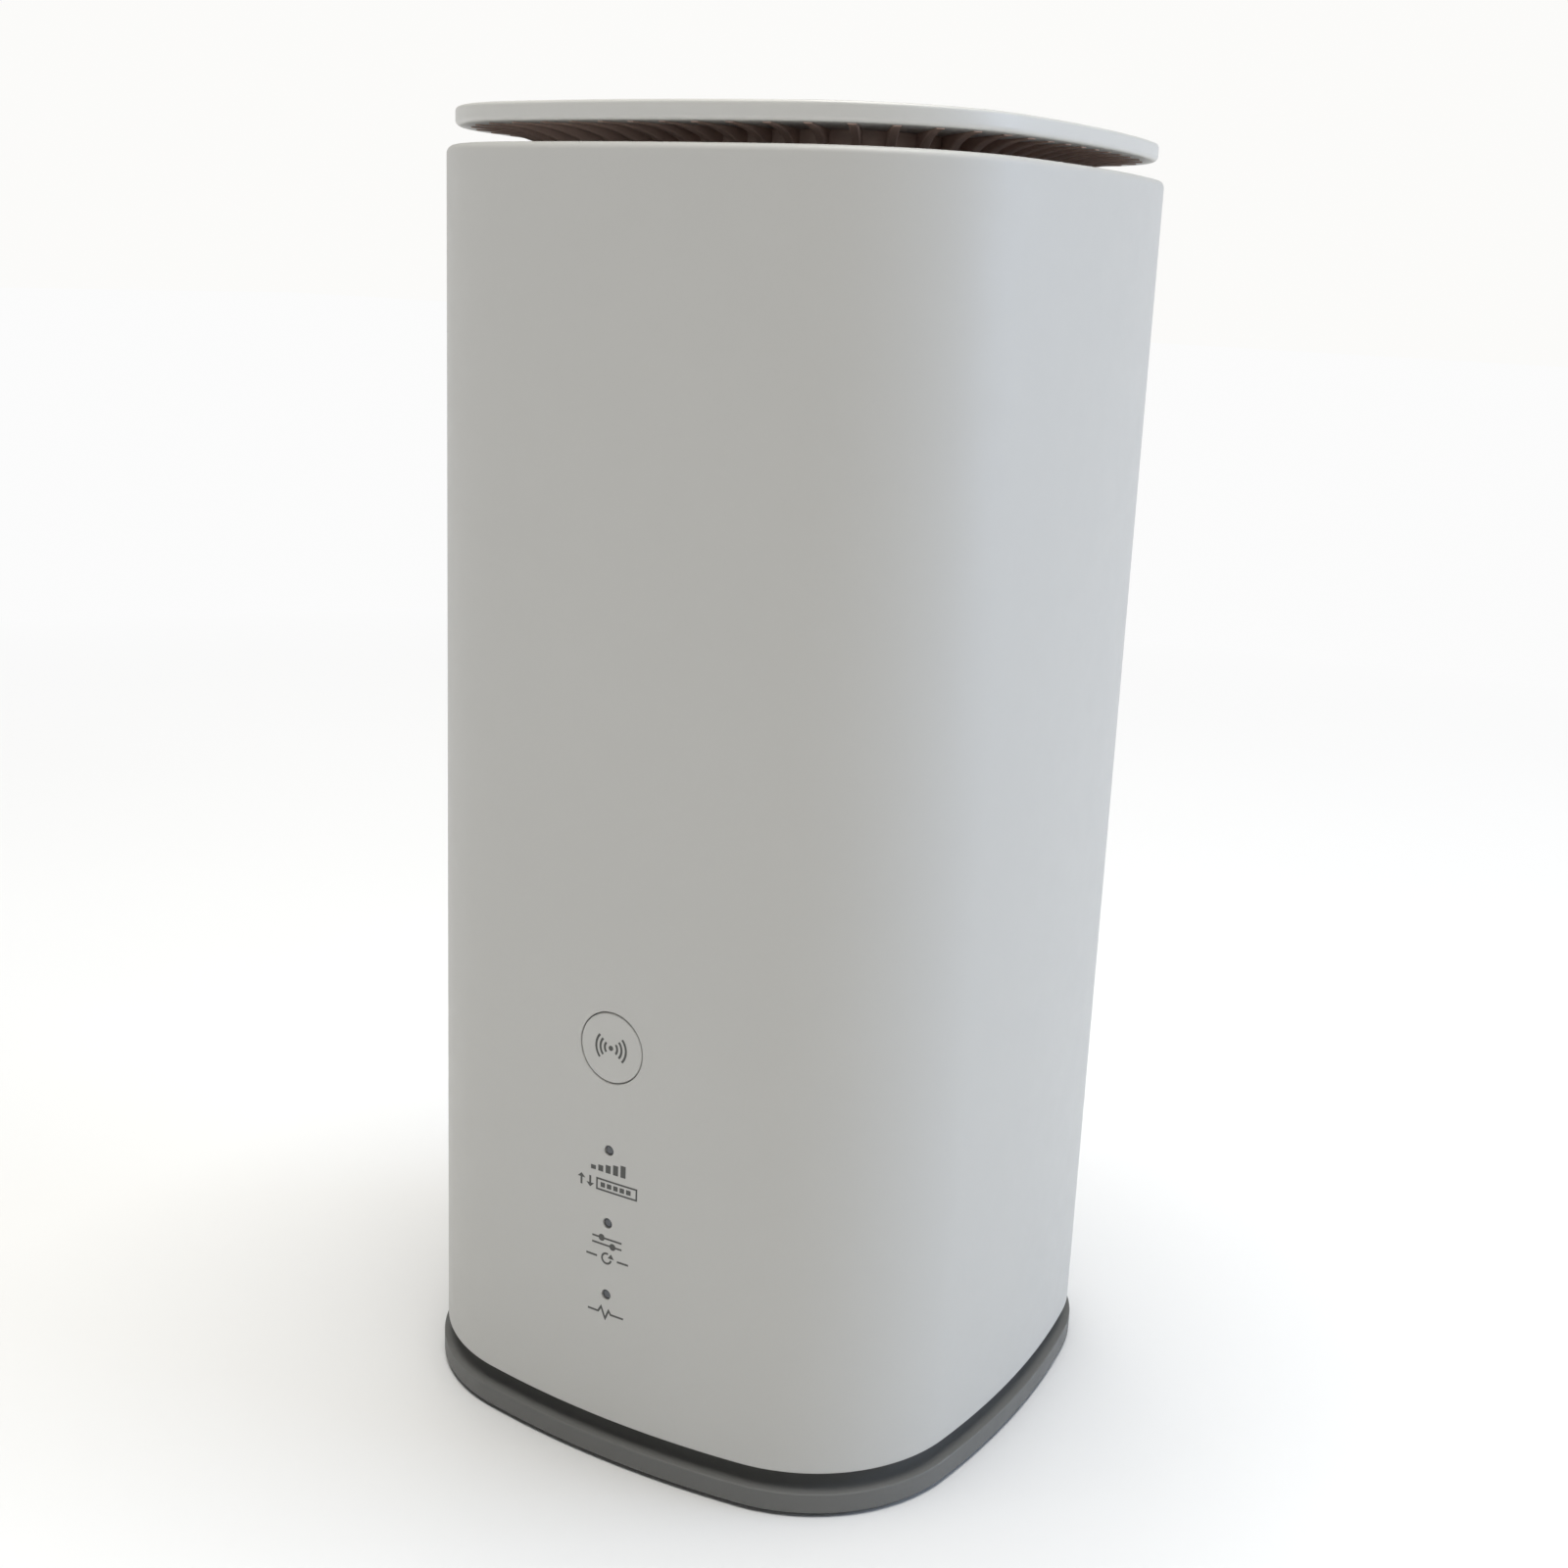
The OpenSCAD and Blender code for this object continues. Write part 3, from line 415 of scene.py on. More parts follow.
white = (0.560, 0.554, 0.530)
# The lid is the same white plastic as the shell. Its lighter tone is painted light, standing in for the stronger light
# that falls on the lid's edges.
lid_white_painted_lighter = (0.615, 0.609, 0.582)
MATS = {
    "shell_white": plastic("shell_plastic", white, 0.012, (0.42, 0.52), 2300, 0.22, 0.02, specks=(26, 0.35, (0.45, 0.44, 0.42))),
    "lid_white": plastic("lid_plastic_painted_lighter", lid_white_painted_lighter, 0.012, (0.34, 0.44), 2300, 0.14, 0.015),
    "button_white": plastic("button_plastic", white, 0.012, (0.38, 0.48), 2300, 0.16, 0.015),
    "grille_dark": plastic("grille_plastic", (0.48, 0.340, 0.285), 0.10, (0.5, 0.62), 1700, 0.25, 0.02, wear=(0.55, 0.43, 0.37)),
    "base_grey": plastic("base_plastic", (0.150, 0.150, 0.143), 0.05, (0.45, 0.56), 1900, 0.28, 0.02, wear=(0.24, 0.24, 0.235)),
    "foot_rubber": rubber("foot_rubber", (0.030, 0.030, 0.032)),
    "screw_steel": metal("screw_steel", (0.52, 0.52, 0.54), (0.22, 0.4), scale=1400),
    "label_film": plastic("label_film", (0.62, 0.62, 0.61), 0.03, (0.3, 0.4), 1200, 0.06, 0.01),
    "panel_white": plastic("panel_plastic", (0.70, 0.71, 0.71), 0.02, (0.45, 0.55), 2000, 0.25, 0.02),
    "frame_plastic": plastic("frame_plastic", (0.52, 0.52, 0.50), 0.05, (0.4, 0.55), 900, 0.2, 0.02),
    "black_plastic": plastic("black_plastic", (0.035, 0.035, 0.038), 0.15, (0.35, 0.48), 1500, 0.2, 0.015, wear=(0.09, 0.09, 0.09)),
    "plunger_red": plastic("plunger_plastic", (0.36, 0.07, 0.05), 0.08, (0.35, 0.45), 1500, 0.1, 0.01),
    "circuit_board": board("board_mask", (0.020, 0.110, 0.065), (0.045, 0.17, 0.09)),
    "clear_guide": smoked("guide_acrylic", (0.20, 0.21, 0.23), 0.35),
    "lamp_dome": smoked("lamp_resin", (0.75, 0.72, 0.50), 0.3),
    "connector_cream": plastic("connector_nylon", (0.74, 0.70, 0.58), 0.05, (0.35, 0.48), 1300, 0.15, 0.015),
    "cable_black": rubber("cable_jacket", (0.035, 0.035, 0.037), (0.45, 0.6), 1200, 0.12),
    "lead_white": rubber("lead_jacket", (0.62, 0.62, 0.60), (0.4, 0.55), 1500, 0.1),
    "can_steel": metal("can_steel", (0.62, 0.62, 0.61), (0.25, 0.42), (1, 1, 12), 700),
    "pad_grey": rubber("thermal_pad", (0.22, 0.28, 0.34), (0.6, 0.8), 900, 0.35),
    "sink_aluminium": metal("sink_aluminium", (0.66, 0.67, 0.69), (0.28, 0.46), (1, 1, 0.03), 1100, 0.2),
    "contact_gold": metal("contact_gold", (0.80, 0.58, 0.24), (0.15, 0.3), scale=1500, stain=0.1),
    "ferrite": plastic("ferrite", (0.045, 0.045, 0.050), 0.2, (0.5, 0.7), 1100, 0.4, 0.03),
    "capacitor_sleeve": plastic("capacitor_sleeve", (0.030, 0.035, 0.085), 0.1, (0.25, 0.38), 1200, 0.1, 0.01),
    "foil_film": plastic("foil_film", (0.035, 0.035, 0.038), 0.1, (0.28, 0.42), 800, 0.15, 0.015),
    "ink": plastic("ink", (0.085, 0.085, 0.080), 0.06, (0.5, 0.6), 2500, 0.1, 0.005),
}


def finish_piece(ob, slot, body="body", replaces=(), material=None):
    """Material, material slot, body and the CAD nodes a piece stands for."""
    ob.data.materials.clear()
    ob.data.materials.append(MATS[material or slot])
    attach(ob, body)
    if replaces:
        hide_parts(*replaces)
    return ob


# CAD nodes first get their slot's finish; those shown below by a finer piece are replaced.
slots = {s["node"]: s["material_slot"] for s in frame["record"]["subparts"]}
for node, ob in frame["nodes"].items():
    ob.data.materials.clear()
    ob.data.materials.append(MATS[slots[node]])

# ---------------------------------------------------------------- shell

inner = SHELL_OFF - WALL
rim_r = 1.15
shell = loft("shell_skin", [
    (SHELL_OFF - 0.4, SHELL_Z), *arc(SHELL_OFF - 0.4, SHELL_Z + 0.4, 0.4, -70, 0, 4), (SHELL_OFF, SHELL_Z + 0.8),
    (SHELL_OFF, RIM_Z - rim_r - 0.4), *arc(SHELL_OFF - rim_r, RIM_Z - rim_r, rim_r, 0, 90, 8),
    (SHELL_OFF - rim_r - 0.25, RIM_Z),
    (SHELL_OFF - 1.7, RIM_Z - 0.12), (-5.0, RIM_Z - 1.0), (-8.7, RIM_Z - 1.95), (-9.1, RIM_Z - 2.3), (-9.2, RIM_Z - 2.7),
    (-9.2, LIP_Z + 0.2), (-9.0, LIP_Z), (inner - 0.8, LIP_Z), (inner, LIP_Z - 0.8), (inner, SHELL_Z)], closed=True)
button_hole = lathe("tool", [(BUTTON_R + 0.55, -1.0), (BUTTON_R + 0.40, -0.02), (BUTTON_R + 0.15, 0.22), (BUTTON_R + 0.15, 8)],
                    (0, FRONT_Y, BUTTON_Z), "Y", 96)
lamp_holes = [lathe("tool", [(LAMP_R + 0.1, -1.0), (LAMP_R + 0.08, 0.0), (LAMP_R, 0.1), (LAMP_R, 8)],
                    (0, FRONT_Y, z), "Y", 48) for z in LAMPS]
window = slab("tool", round_rect(-13, 13, PANEL_Z0 + 0.4, PANEL_Z1 - 0.4, 3), PANEL_FACE + 1, HALF + 2)
cut(shell, button_hole, *lamp_holes, window)
collar = lathe("collar", [(BUTTON_R + 2.7, -0.2), (BUTTON_R + 2.7, 2.5), (BUTTON_R + 2.5, 2.7), (BUTTON_R + 1.6, 2.7)],
               (0, -HALF + WALL - SHELL_OFF, BUTTON_Z), "Y", 64)
cut(collar, lathe("tool", [(BUTTON_R + 1.5, -1), (BUTTON_R + 1.5, 4)], (0, -HALF + WALL - SHELL_OFF, BUTTON_Z), "Y", 64))
shell = join("shell_skin", [shell, collar])
soften(shell, 30)
finish_piece(shell, "shell_white", replaces=["outer_shell"])

# ---------------------------------------------------------------- lid

lid = loft("lid_cap", [
    (LEDGE_OFF, LID_Z), (LID_OFF - 0.85, LID_Z), *arc(LID_OFF - 0.8, LID_Z + 0.8, 0.8, -90, 0, 8),
    (LID_OFF, BODY_H - 0.85), *arc(LID_OFF - 0.6, BODY_H - 0.6, 0.6, 0, 90, 6), (LID_OFF - 0.9, BODY_H), (LID_OFF - 3, BODY_H)])
PEGS = [(14 * math.cos(math.pi / 2 * i), 14 * math.sin(math.pi / 2 * i)) for i in range(4)]
PILLARS = [(20 * sx, 20 * sy) for sx in (-1, 1) for sy in (-1, 1)]
pegs = [lathe("peg", [(1.3, -2), (1.6, -1.7), (1.6, 0.1)], (x, y, LID_Z), "Z", 32) for x, y in PEGS]
finish_piece(join("lid_body", [lid, *pegs]), "shell_white", replaces=["top_lid"], material="lid_white")

# ---------------------------------------------------------------- vent ribs


def radius_at(a, off):
    """Distance from the middle to the outline at that offset, in direction a."""
    b = a - math.pi / 2 * round(a / (math.pi / 2))
    u = Vector((math.cos(b), abs(math.sin(b))))
    meets = math.atan2(CORNER_C + CORNER_R * math.sin(SIDE_A), CORNER_C + CORNER_R * math.cos(SIDE_A))
    c, r = (Vector((-SIDE_C, 0)), SIDE_R + off) if abs(b) < meets else (Vector((CORNER_C, CORNER_C)), CORNER_R + off)
    d = u.dot(c)
    return d + math.sqrt(d * d - c.dot(c) + r * r)


def rib_loop():
    top = -0.02
    low = [(-RIB_REACH * math.sin(math.pi / 2 * i / 14),
            -RIB_DROP * (1 - math.sqrt(max(0, 1 - math.sin(math.pi / 2 * i / 14) ** 2))) - 0.15) for i in range(15)]
    return low + [(-RIB_REACH, -7.4), (-RIB_REACH - 1.2, -7.4), (-RIB_REACH - 1.2, top), (0, top)]


def make_ribs():
    loop = rib_loop()
    verts, faces = [], []
    n = len(loop)
    half, chamfer = RIB_T / 2, 0.16
    for i in range(RIB_COUNT):
        a = 2 * math.pi * (i + 0.5) / RIB_COUNT
        start = Vector((radius_at(a, LEDGE_OFF) * math.cos(a), radius_at(a, LEDGE_OFF) * math.sin(a)))
        d = a - math.radians(RIB_SWIRL)
        along, side = Vector((math.cos(d), math.sin(d))), Vector((-math.sin(d), math.cos(d)))
        base = len(verts)
        # Four copies of the outline: the middle pair full size, the outer pair lifted by the chamfer along the low edge.
        for w, lift in ((-half, chamfer), (-half + chamfer, 0), (half - chamfer, 0), (half, chamfer)):
            for k, (s, h) in enumerate(loop):
                raise_by = lift if k < 16 else 0
                p = start + along * s + side * w
                verts.append((p.x * MM, p.y * MM, (LID_Z + h + raise_by) * MM))
        for c in range(3):
            for k in range(n):
                j = (k + 1) % n
                faces.append((base + c * n + k, base + c * n + j, base + (c + 1) * n + j, base + (c + 1) * n + k))
        faces.append(tuple(base + k for k in reversed(range(n))))
        faces.append(tuple(base + 3 * n + k for k in range(n)))
    return mesh_object("ribs", verts, faces, 30)


plate = loft("plate", [(SKIRT_OFF, LID_Z - 2), (SKIRT_OFF, LID_Z - 0.02)])
skirt = loft("skirt", [(SKIRT_OFF, LID_Z - 2), (SKIRT_OFF, LID_Z - 7.1), (SKIRT_OFF - 0.3, LID_Z - 7.4),
                       (SKIRT_OFF - 1.2, LID_Z - 7.4), (SKIRT_OFF - 1.5, LID_Z - 7.1), (SKIRT_OFF - 1.5, LID_Z - 2)], closed=True)
cut(plate, *[lathe("tool", [(1.7, -4), (1.7, 1)], (x, y, LID_Z), "Z", 32) for x, y in PEGS],
    *[lathe("tool", [(1.5, -4), (1.5, -1.2), (2.8, -1.2), (2.8, 1)], (x, y, LID_Z), "Z", 32) for x, y in PILLARS])
grille = join("vent_ribs", [make_ribs(), plate, skirt])
finish_piece(grille, "grille_dark", replaces=["vent_grille"])

# ---------------------------------------------------------------- base

FT = 3.9
cove = [(-0.7, FT + 0.10), (-1.4, FT + 0.22), (-2.1, FT + 0.42), (-2.8, FT + 0.74), (-3.4, FT + 1.13), (-4.0, FT + 1.65),
        (-4.5, FT + 2.2), (-4.95, FT + 2.95), (-5.3, FT + 3.75), (-5.55, FT + 4.8), (-5.68, FT + 5.8)]
base = loft("base_skin", [
    (-7.6, 10), (-7.6, 7.8), (-3.9, 3.2), (-3.6, 2.2), (-2.4, 2.2), (-2.4, 0.75), (-2.2, 0.6), (0.05, 0.6),
    *arc(0.1, 0.8, 0.2, -80, 0, 4), (0.3, 1.0), (0.3, FT - 0.35), *arc(0.12, FT - 0.18, 0.18, 0, 80, 4), (-0.25, FT + 0.03),
    *cove, (-5.7, 10.2), (-5.7, 11.6), (-6.0, 12)])
cut(base, box("tool", (-9.1, -3.7), (-21, -3), (9, 13)))
soften(base, 30)
BASE_SCREWS = [(31 * sx, 31 * sy) for sx in (-1, 1) for sy in (-1, 1)]
extras = [lathe("boss", [(3.6, 2.2), (3.6, 10.2)], (x, y, 0)) for x, y in BASE_SCREWS]
for boss, (x, y) in zip(extras, BASE_SCREWS):
    cut(boss, lathe("tool", [(1.25, 1), (1.25, 9)], (x, y, 0), "Z", 24))
well = box("well", (-11.2, 10.2), (-24.2, 0.2), (3.8, 10.05))
cut(well, box("tool", (-10, 9), (-23, -1), (0, 20)))
for i in range(10):
    a = math.radians(18 + 36 * i)
    r = radius_at(a, -5.7)
    s = box("spacer", (r - 0.6, r + 2.6), (-1, 1), (10, 12), 0.15)
    s.data.transform(Matrix.Rotation(a, 4, "Z"))
    extras.append(s)
base = join("base_body", [base, well, *extras])
finish_piece(base, "base_grey", replaces=["base_housing"])

feet = {"foot_front_left": (-1, -1), "foot_front_right": (1, -1), "foot_rear_left": (-1, 1), "foot_rear_right": (1, 1)}
for node, (sx, sy) in feet.items():
    pad = lathe(node + "_pad", [(0.5, 1.4), (6, 1.4), (6, 0.45), (5.85, 0.15), (5.5, 0.0), (2.2, 0.0), (2.0, 0.08), (0.5, 0.08)],
                (22 * sx, 35 * sy, 0), smooth=30)
    finish_piece(pad, "foot_rubber", replaces=[node])

# ---------------------------------------------------------------- button and lamps


def bow(x):
    """How far the front face falls back at x, in mm."""
    return SIDE_R + SHELL_OFF - math.sqrt((SIDE_R + SHELL_OFF) ** 2 - x * x)


def bend_to_front(ob, limit=-48.5):
    """Lays the front of a flat piece on the bow of the shell's front face."""
    for v in ob.data.vertices:
        if v.co.y / MM < limit:
            v.co.y += bow(v.co.x / MM) * MM


cap = lathe("button_cap", [
    (0.4, 7.0), (1.6, 7.0), (1.6, 3.4), (BUTTON_R + 1.2, 3.4), (BUTTON_R + 1.2, 2.6), (BUTTON_R, 2.6), (BUTTON_R, 0.5),
    *[(BUTTON_R - 0.28 + 0.28 * math.cos(math.radians(t)), 0.33 - 0.28 * math.sin(math.radians(t))) for t in (0, 20, 40, 60, 80, 90)],
    (5.0, 0.05), (4.0, 0.05), (2.0, 0.05), (0.4, 0.05)], (0, FRONT_Y, BUTTON_Z), "Y", 96, 30)
bend_to_front(cap, -47.5)
finish_piece(cap, "shell_white", "button", ["wps_button"], "button_white")

posts = [lathe("post", [(0.25, -0.0), (0.5, 0.03), (0.68, 0.12), (0.79, 0.28), (0.8, 0.45), (0.8, 4.9)], (0, FRONT_Y + 0.25, z), "Y", 40)
         for z in LAMPS]
posts += [lathe("pipe", [(1.2, 0), (1.2, 3.9)], (0, -43.4, z), "Y", 32) for z in LAMPS]
posts += [lathe("leg", [(0.8, 0), (0.8, 4.9)], (0, -43.4, z), "Y", 24) for z in (LAMPS[2] - 2.2, LAMPS[0] + 2.2)]
posts.append(box("bar", (-2.2, 2.2), (-44.6, -43.4), (LAMPS[2] - 3, LAMPS[0] + 3), 0.2))
finish_piece(join("lamp_guide", posts), "clear_guide", replaces=["light_guide"])

# ---------------------------------------------------------------- printed symbols


def ribbon(points, width, closed=False):
    """A stroke of that width along 2-D points, as (vertices, quads)."""
    pts = [Vector(p) for p in points]
    n = len(pts)
    left, rite = [], []
    for i, p in enumerate(pts):
        a = pts[i - 1] if i or closed else None
        b = pts[(i + 1) % n] if i < n - 1 or closed else None
        da = (p - a).normalized() if a is not None else None
        db = (b - p).normalized() if b is not None else None
        d = ((da or db) + (db or da)).normalized()
        m = Vector((-d.y, d.x))
        k = width / 2 / max(0.5, abs(m.dot(Vector((-(db or da).y, (db or da).x)))))
        left.append(p + m * k)
        rite.append(p - m * k)
    quads = [(i, (i + 1) % n, n + (i + 1) % n, n + i) for i in range(n if closed else n - 1)]
    return left + rite, quads


def fine(points, closed, step=0.5):
    """The same path with no segment longer than step, so that it can follow the bow."""
    out = []
    ends = list(zip(points, points[1:] + points[:1])) if closed else list(zip(points, points[1:]))
    for a, b in ends:
        a, b = Vector(a), Vector(b)
        n = max(1, math.ceil((b - a).length / step))
        out += [a.lerp(b, i / n) for i in range(n)]
    return out if closed else out + [Vector(points[-1])]


def circle(cx, cz, r, a0=0, a1=360, steps=None):
    steps = steps or max(8, int(abs(a1 - a0) / 9))
    return [(cx + r * math.cos(math.radians(a0 + (a1 - a0) * i / steps)),
             cz + r * math.sin(math.radians(a0 + (a1 - a0) * i / steps))) for i in range(steps + (0 if abs(a1 - a0) == 360 else 1))]


def on_front(lift):
    """Puts a symbol's points on the bowed front face."""
    return lambda x, z: (x * MM, (FRONT_Y + bow(x) - lift) * MM, z * MM)


def on_panel(x, z):
    """Puts a symbol's points on the port panel, as seen from behind."""
    return (-x * MM, (PANEL_FACE + 0.012) * MM, z * MM)


def on_plate(x, y):
    """Puts a symbol's points on the underside of the rating plate, as seen from below."""
    return (x * MM, -y * MM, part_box("rating_plate")[0][2] - 0.012 * MM)


def print_symbols(name, strokes, fills, centre, surface=on_front(0.012), out=(0, -1, 0), body="body"):
    """Thin ink on a surface. strokes are (points, width, closed), fills are outlines, both about the centre."""
    verts, faces = [], []
    cx, cy = centre
    for points, width, closed in strokes:
        v, q = ribbon(fine(points, closed), width, closed)
        faces += [tuple(len(verts) + k for k in f) for f in q]
        verts += [surface(cx + p[0], cy + p[1]) for p in v]
    for loop in fills:
        faces.append(tuple(len(verts) + k for k in range(len(loop))))
        verts += [surface(cx + p[0], cy + p[1]) for p in loop]
    me = bpy.data.meshes.new(name)
    me.from_pydata(verts, [], faces)
    bm = bmesh.new()
    bm.from_mesh(me)
    for f in bm.faces:
        f.normal_update()
        if f.normal.dot(Vector(out)) < 0:
            f.normal_flip()
    bm.to_mesh(me)
    bm.free()
    ob = bpy.data.objects.new(name, me)
    bpy.context.scene.collection.objects.link(ob)
    thick = ob.modifiers.new("thick", "SOLIDIFY")
    thick.thickness, thick.offset = 0.01 * MM, -1
    apply_modifiers(ob)
    return finish_piece(ob, "grille_dark", body, material="ink")


def rect(x0, x1, z0, z1):
    return [(x0, z0), (x1, z0), (x1, z1), (x0, z1)]


def arrow(cx, z0, z1, w=0.26, head=0.55):
    """Upright arrow from z0 to z1, as outlines to fill."""
    s = 1 if z1 > z0 else -1
    return [rect(cx - w / 2, cx + w / 2, *sorted((z0, z1 - s * 0.5))), [(cx - head, z1 - s * 0.7), (cx + head, z1 - s * 0.7), (cx, z1)]]


# Pairing: a dot that calls to both sides.
calls = [(circle(0, 0, r, a - 42, a + 42), 0.38, False) for r in (1.15, 1.95, 2.75) for a in (0, 180)]
print_symbols("ink_pairing", calls, [circle(0, 0, 0.42)], (0, BUTTON_Z), on_front(-0.038), body="button")
# Signal: rising bars. Data: up and down arrows beside a gauge.
bars = [rect(-3.3 + 1.4 * i, -3.3 + 1.4 * i + 0.95, -0.8, -0.8 + 0.7 + 0.32 * i) for i in range(5)]
print_symbols("ink_signal", [], bars, (0, LAMPS[0] - 3.0))
gauge = [rect(-1.4 + 1.2 * i, -1.4 + 1.2 * i + 0.85, -0.4, 0.4) for i in range(5)]
print_symbols("ink_data", [(rect(-2.1, 5.3, -0.88, 0.88), 0.3, True)],
              [*arrow(-5.1, -0.95, 0.95, 0.38, 0.75), *arrow(-3.4, 0.95, -0.95, 0.38, 0.75), *gauge], (0, LAMPS[0] - 6.0))
# Mode: two sliders. Update: a ring with an arrow head, between two bars.
print_symbols("ink_mode", [([(-2.8, 0.55), (2.8, 0.55)], 0.32, False), ([(-2.8, -0.55), (2.8, -0.55)], 0.32, False)],
              [circle(-1.0, 0.55, 0.58), circle(1.1, -0.55, 0.58)], (0, LAMPS[1] - 3.2))
print_symbols("ink_update", [(circle(0, 0, 0.85, 70, 350), 0.34, False), ([(-3.9, 0), (-1.8, 0)], 0.34, False),
                             ([(2.0, 0), (4.1, 0)], 0.34, False)],
              [[(0.22, 0.12), (1.42, 0.12), (0.85, 0.95)]], (0, LAMPS[1] - 6.0))
# Status: a pulse between two dashes.
pulse = [(-3.4, 0), (-1.4, 0), (-0.85, 0.95), (-0.05, -0.95), (0.6, 0.6), (1.0, 0), (3.4, 0)]
print_symbols("ink_status", [(pulse, 0.34, False)], [], (0, LAMPS[2] - 3.2))

# On the port panel: a linked pair of boxes beside each network socket, polarity beside the power inlet, and a
# ring arrow beside the reset button.
for where, z in (("lower", 42.0), ("upper", 62.0)):
    boxes = [(rect(-0.7, 0.7, 0.9, 2.1), 0.26, True), (rect(-2.0, -0.7, -2.1, -0.9), 0.26, True),
             (rect(0.7, 2.0, -2.1, -0.9), 0.26, True)]
    links = [([(0, 0.9), (0, 0)], 0.26, False), ([(-1.35, -0.9), (-1.35, 0), (1.35, 0), (1.35, -0.9)], 0.26, False)]
    print_symbols("ink_network_" + where, boxes + links, [], (10.1, z), on_panel, (0, 1, 0))
polarity = [(circle(0, 0, 1.1, 40, 320), 0.26, False), ([(-3.6, 0), (-1.3, 0)], 0.22, False),
            ([(0.3, 0), (3.4, 0)], 0.22, False)]
print_symbols("ink_power", polarity, [circle(0, 0, 0.36)], (9.0, 22), on_panel, (0, 1, 0))
print_symbols("ink_reset", [(circle(0, 0, 1.0, 70, 350), 0.26, False)], [[(0.4, 0.25), (1.6, 0.25), (1.0, 1.1)]],
              (8.2, 80), on_panel, (0, 1, 0))
# On the rating plate: a strip of bars, a ruled block, a crossed-out bin and a house.
strips = [rect(-20 + 0.62 * i, -20 + 0.62 * i + 0.2 + 0.12 * (i * 7 % 4), -22.5, -19) for i in range(30)]
rules = [rect(-20, -20 + 18 - 2.5 * (i % 3), -16.6 + 1.35 * i, -16.1 + 1.35 * i) for i in range(6)]
bin_mark = [([(2.6, -22), (3.1, -18.6), (5.9, -18.6), (6.4, -22)], 0.3, False),
            ([(2.2, -22.3), (6.8, -22.3)], 0.35, False), ([(1.8, -18.2), (7.2, -23)], 0.3, False)]
house = [([(11, -18.6), (11, -21), (13.5, -23), (16, -21), (16, -18.6)], 0.3, True),
         (rect(2.5, 19.5, -16, -10.5), 0.25, True)]
print_symbols("ink_rating", bin_mark + house, strips + rules, (0, 0), on_plate, (0, 0, -1))

# ---------------------------------------------------------------- back panel

JACK_X0, JACK_H, JACK_W = -6.7, 13.5, 16.0
JACK_CX = JACK_X0 + JACK_H / 2
JACKS = {"lower": 42.0, "upper": 62.0}
tray = slab("port_tray", round_rect(-15, 15, PANEL_Z0 - 1.6, PANEL_Z1 + 1.6, 4.6), PANEL_Y, 46.25)
tools = [slab("tool", round_rect(-13.4, 13.4, PANEL_Z0, PANEL_Z1, 3.4), PANEL_FACE, 50)]
for z in JACKS.values():
    tools.append(slab("tool", round_rect(JACK_X0 - 0.2, JACK_X0 + JACK_H + 0.2, z - JACK_W / 2 - 0.2, z + JACK_W / 2 + 0.2, 0.5), 40, 46))
tools.append(lathe("tool", [(3.7, 0), (3.7, 1.9), (4.2, 2.5)], (0, 41.8, 22), "Y"))
tools.append(lathe("tool", [(1.3, 0), (1.3, 2.1), (1.6, 2.5)], (-3.7, 41.8, 80), "Y", 32))
cut(tray, *tools)
round_edges(tray, 0.25, 2, 50)
ears = []
for side in (-1, 1):
    for z in (18, 84):
        x0, x1 = sorted((14 * side, 19 * side))
        ear = slab("ear", round_rect(x0, x1, z - 4, z + 4, 1.5), PANEL_Y, PANEL_FACE, bevel=0.2)
        cut(ear, lathe("tool", [(1.3, 0), (1.3, 4)], (17 * side, PANEL_Y - 1, z), "Y", 24))
        ears.append(ear)
finish_piece(join("port_tray_body", [tray, *ears]), "panel_white", replaces=["port_panel"])


def plug_loop(z, grow=0.0):
    """Outline of a socket's opening, latch steps to +X."""
    a, b, c = 5.95 + grow, 3.1 + grow, 1.7 + grow
    x0, x1, x2, x3 = JACK_CX - 3.6 - grow, JACK_CX + 3.2 + grow, JACK_CX + 4.4 + grow, JACK_CX + 5.4 + grow
    return [(x0, z - a), (x1, z - a), (x1, z - b), (x2, z - b), (x2, z - c), (x3, z - c), (x3, z + c), (x2, z + c), (x2, z + b),
            (x1, z + b), (x1, z + a), (x0, z + a)]


for where, z in JACKS.items():
    can = box("lan_can_" + where, (JACK_X0, JACK_X0 + JACK_H), (PANEL_FACE - 21, PANEL_FACE), (z - JACK_W / 2, z + JACK_W / 2), 0.35)
    cut(can, box("tool", (JACK_X0 + 0.3, JACK_X0 + JACK_H - 0.3), (PANEL_FACE - 20.7, PANEL_FACE - 0.3), (z - 7.7, z + 7.7)),
        slab("tool", plug_loop(z, 0.12), PANEL_FACE - 1, PANEL_FACE + 1))
    # Two sprung tabs pressed out of the can's face beside the opening.
    tabs = [box("tab", (JACK_X0 + 1.1, JACK_X0 + 2.3), (PANEL_FACE - 0.05, PANEL_FACE + 0.22), (z + s * 6.9 - 0.5, z + s * 6.9 + 0.5), 0.1)
            for s in (-1, 1)]
    for t in tabs:
        t.data.transform(Matrix.Translation((0, -0.2 * MM, 0)))
    soften(can, 40)
    finish_piece(join("lan_can_body_" + where, [can, *tabs]), "can_steel", replaces=["lan_shield_" + where])
    insert = box("lan_insert_" + where, (JACK_X0 + 0.3, JACK_X0 + JACK_H - 0.3), (PANEL_FACE - 20.7, PANEL_FACE - 0.32), (z - 7.7, z + 7.7))
    slots_cut = [slab("tool", plug_loop(z), PANEL_FACE - 13, PANEL_FACE + 1)]
    slots_cut += [box("tool", (JACK_CX - 4.6, JACK_CX - 1), (PANEL_FACE - 14.2, PANEL_FACE - 2.4),
                      (z + (i - 3.5) * 1.27 - 0.4, z + (i - 3.5) * 1.27 + 0.4)) for i in range(8)]
    cut(insert, *slots_cut)
    soften(insert, 30)
    finish_piece(insert, "black_plastic", replaces=["lan_jack_" + where])

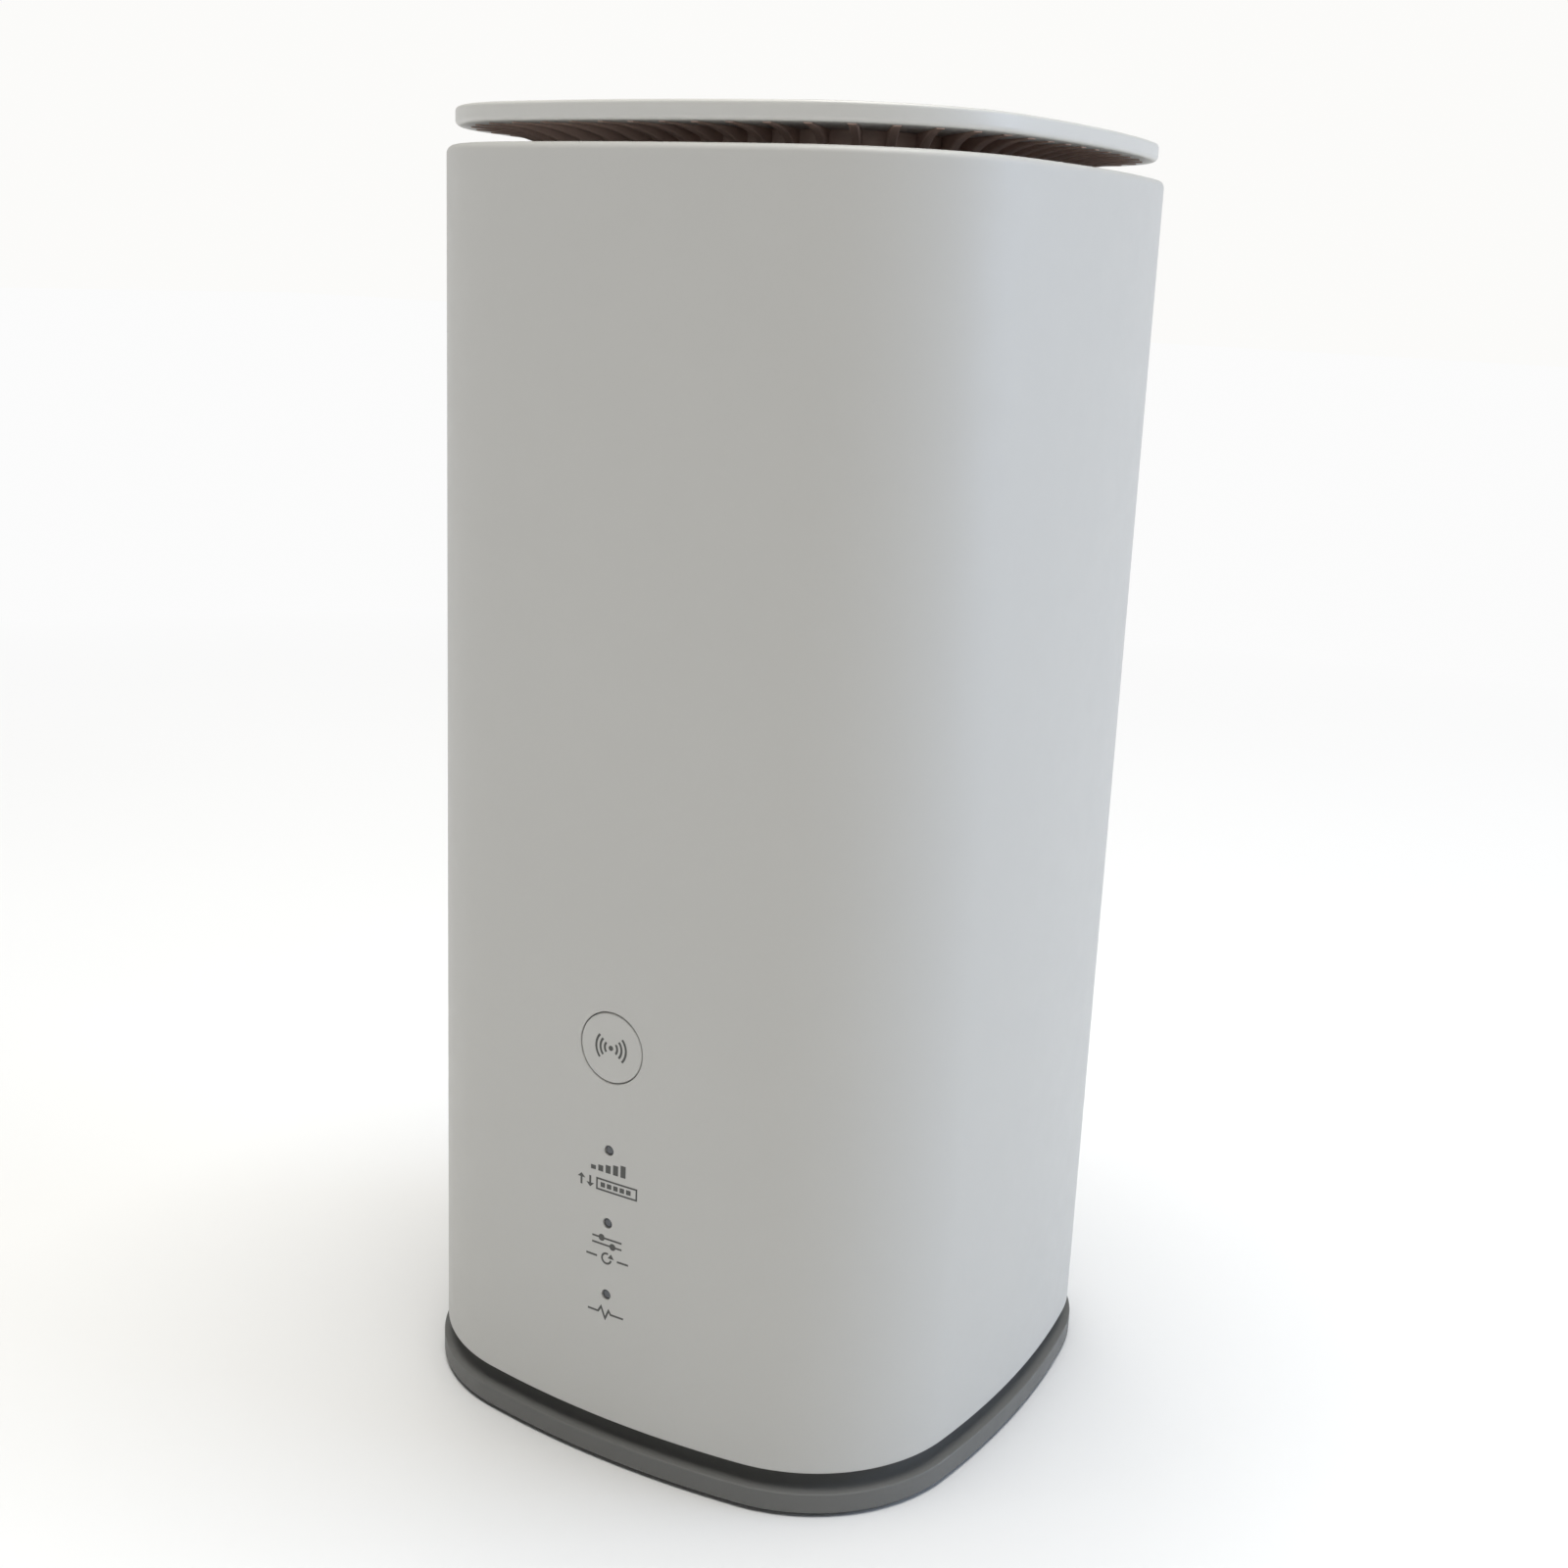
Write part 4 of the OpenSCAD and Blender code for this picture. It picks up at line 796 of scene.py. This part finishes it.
inlet = box("inlet_block", (JACK_X0, 4.5), (PANEL_FACE - 14, PANEL_Y - 0.2), (17.5, 26.5), 0.3)
cut(inlet, lathe("tool", [(3.1, 0), (3.1, 12)], (0, PANEL_FACE - 9.6, 22), "Y"))
collar = lathe("collar", [(3.6, 0), (3.6, 1.55), (3.45, 1.7), (3.35, 1.7), (3.1, 1.45), (3.1, 0)], (0, PANEL_Y - 0.2, 22), "Y")
cut(collar, lathe("tool", [(3.1, -1), (3.1, 1.42), (3.4, 2.2)], (0, PANEL_Y - 0.2, 22), "Y"))
soften(inlet, 40)
finish_piece(join("inlet_body", [inlet, collar]), "black_plastic", replaces=["dc_inlet"])
reset = lathe("reset_cap", [(0.3, 0), (1.1, 0), (1.1, 3.6), (0.95, 3.78), (0.75, 3.8), (0.3, 3.8)], (-3.7, 39.8, 80), "Y", 32)
finish_piece(reset, "panel_white", "reset", ["reset_plunger"])

# ---------------------------------------------------------------- floor and light

floor = mesh_object("floor", [(-6, -6, -0.0001), (6, -6, -0.0001), (6, 6, -0.0001), (-6, 6, -0.0001)], [(0, 1, 2, 3)])
fm, nt, bsdf = new_material("floor_paper")
paper = noise(nt, 6, 3, 0.5)
nt.links.new(blend_colour(nt, paper.outputs["Fac"], (0.80, 0.80, 0.80), (0.83, 0.83, 0.83)), bsdf.inputs["Base Color"])
bsdf.inputs["Roughness"].default_value = 0.9
bsdf.inputs["Specular IOR Level"].default_value = 0.1
# Away from the object the paper glows into the pale surroundings, so no horizon shows.
away = nt.nodes.new("ShaderNodeVectorMath")
away.operation = "LENGTH"
nt.links.new(nt.nodes.new("ShaderNodeTexCoord").outputs["Object"], away.inputs[0])
glow = nt.nodes.new("ShaderNodeEmission")
glow.inputs["Strength"].default_value = 0.97
fade = nt.nodes.new("ShaderNodeMixShader")
nt.links.new(ranged(nt, away.outputs["Value"], 0, 1, 0.16, 0.75), fade.inputs[0])
nt.links.new(bsdf.outputs[0], fade.inputs[1])
nt.links.new(glow.outputs[0], fade.inputs[2])
nt.links.new(fade.outputs[0], nt.nodes["Material Output"].inputs["Surface"])
floor.data.materials.append(fm)


def area_light(name, place, aim, size, power, colour):
    d = bpy.data.lights.new(name, "AREA")
    d.shape, d.size, d.size_y = "RECTANGLE", size[0], size[1]
    d.energy, d.color = power, colour
    ob = bpy.data.objects.new(name, d)
    ob.location = place
    ob.rotation_mode = "QUATERNION"
    ob.rotation_quaternion = (Vector(aim) - Vector(place)).to_track_quat("-Z", "Y")
    bpy.context.scene.collection.objects.link(ob)
    return ob


area_light("key_right", (1.09, 0.51, 0.45), (0, 0, 0.1), (0.7, 1.0), 7.0, (0.61, 0.755, 1.0))
area_light("overhead", (0.0, 0.0, 2.2), (0, 0, 0), (1.6, 1.6), 60, (1.0, 0.99, 0.955))
# Pale all round at eye level, dimmer above.
world = bpy.data.worlds.new("studio")
bpy.context.scene.world = world
world.use_nodes = True
wt = world.node_tree
background = wt.nodes["Background"]
background.inputs["Color"].default_value = (1.0, 0.995, 0.98, 1)
height = wt.nodes.new("ShaderNodeSeparateXYZ")
wt.links.new(wt.nodes.new("ShaderNodeTexCoord").outputs["Generated"], height.inputs[0])
wt.links.new(ranged(wt, height.outputs["Z"], 0.97, 0.10, 0.13, 0.22), background.inputs["Strength"])
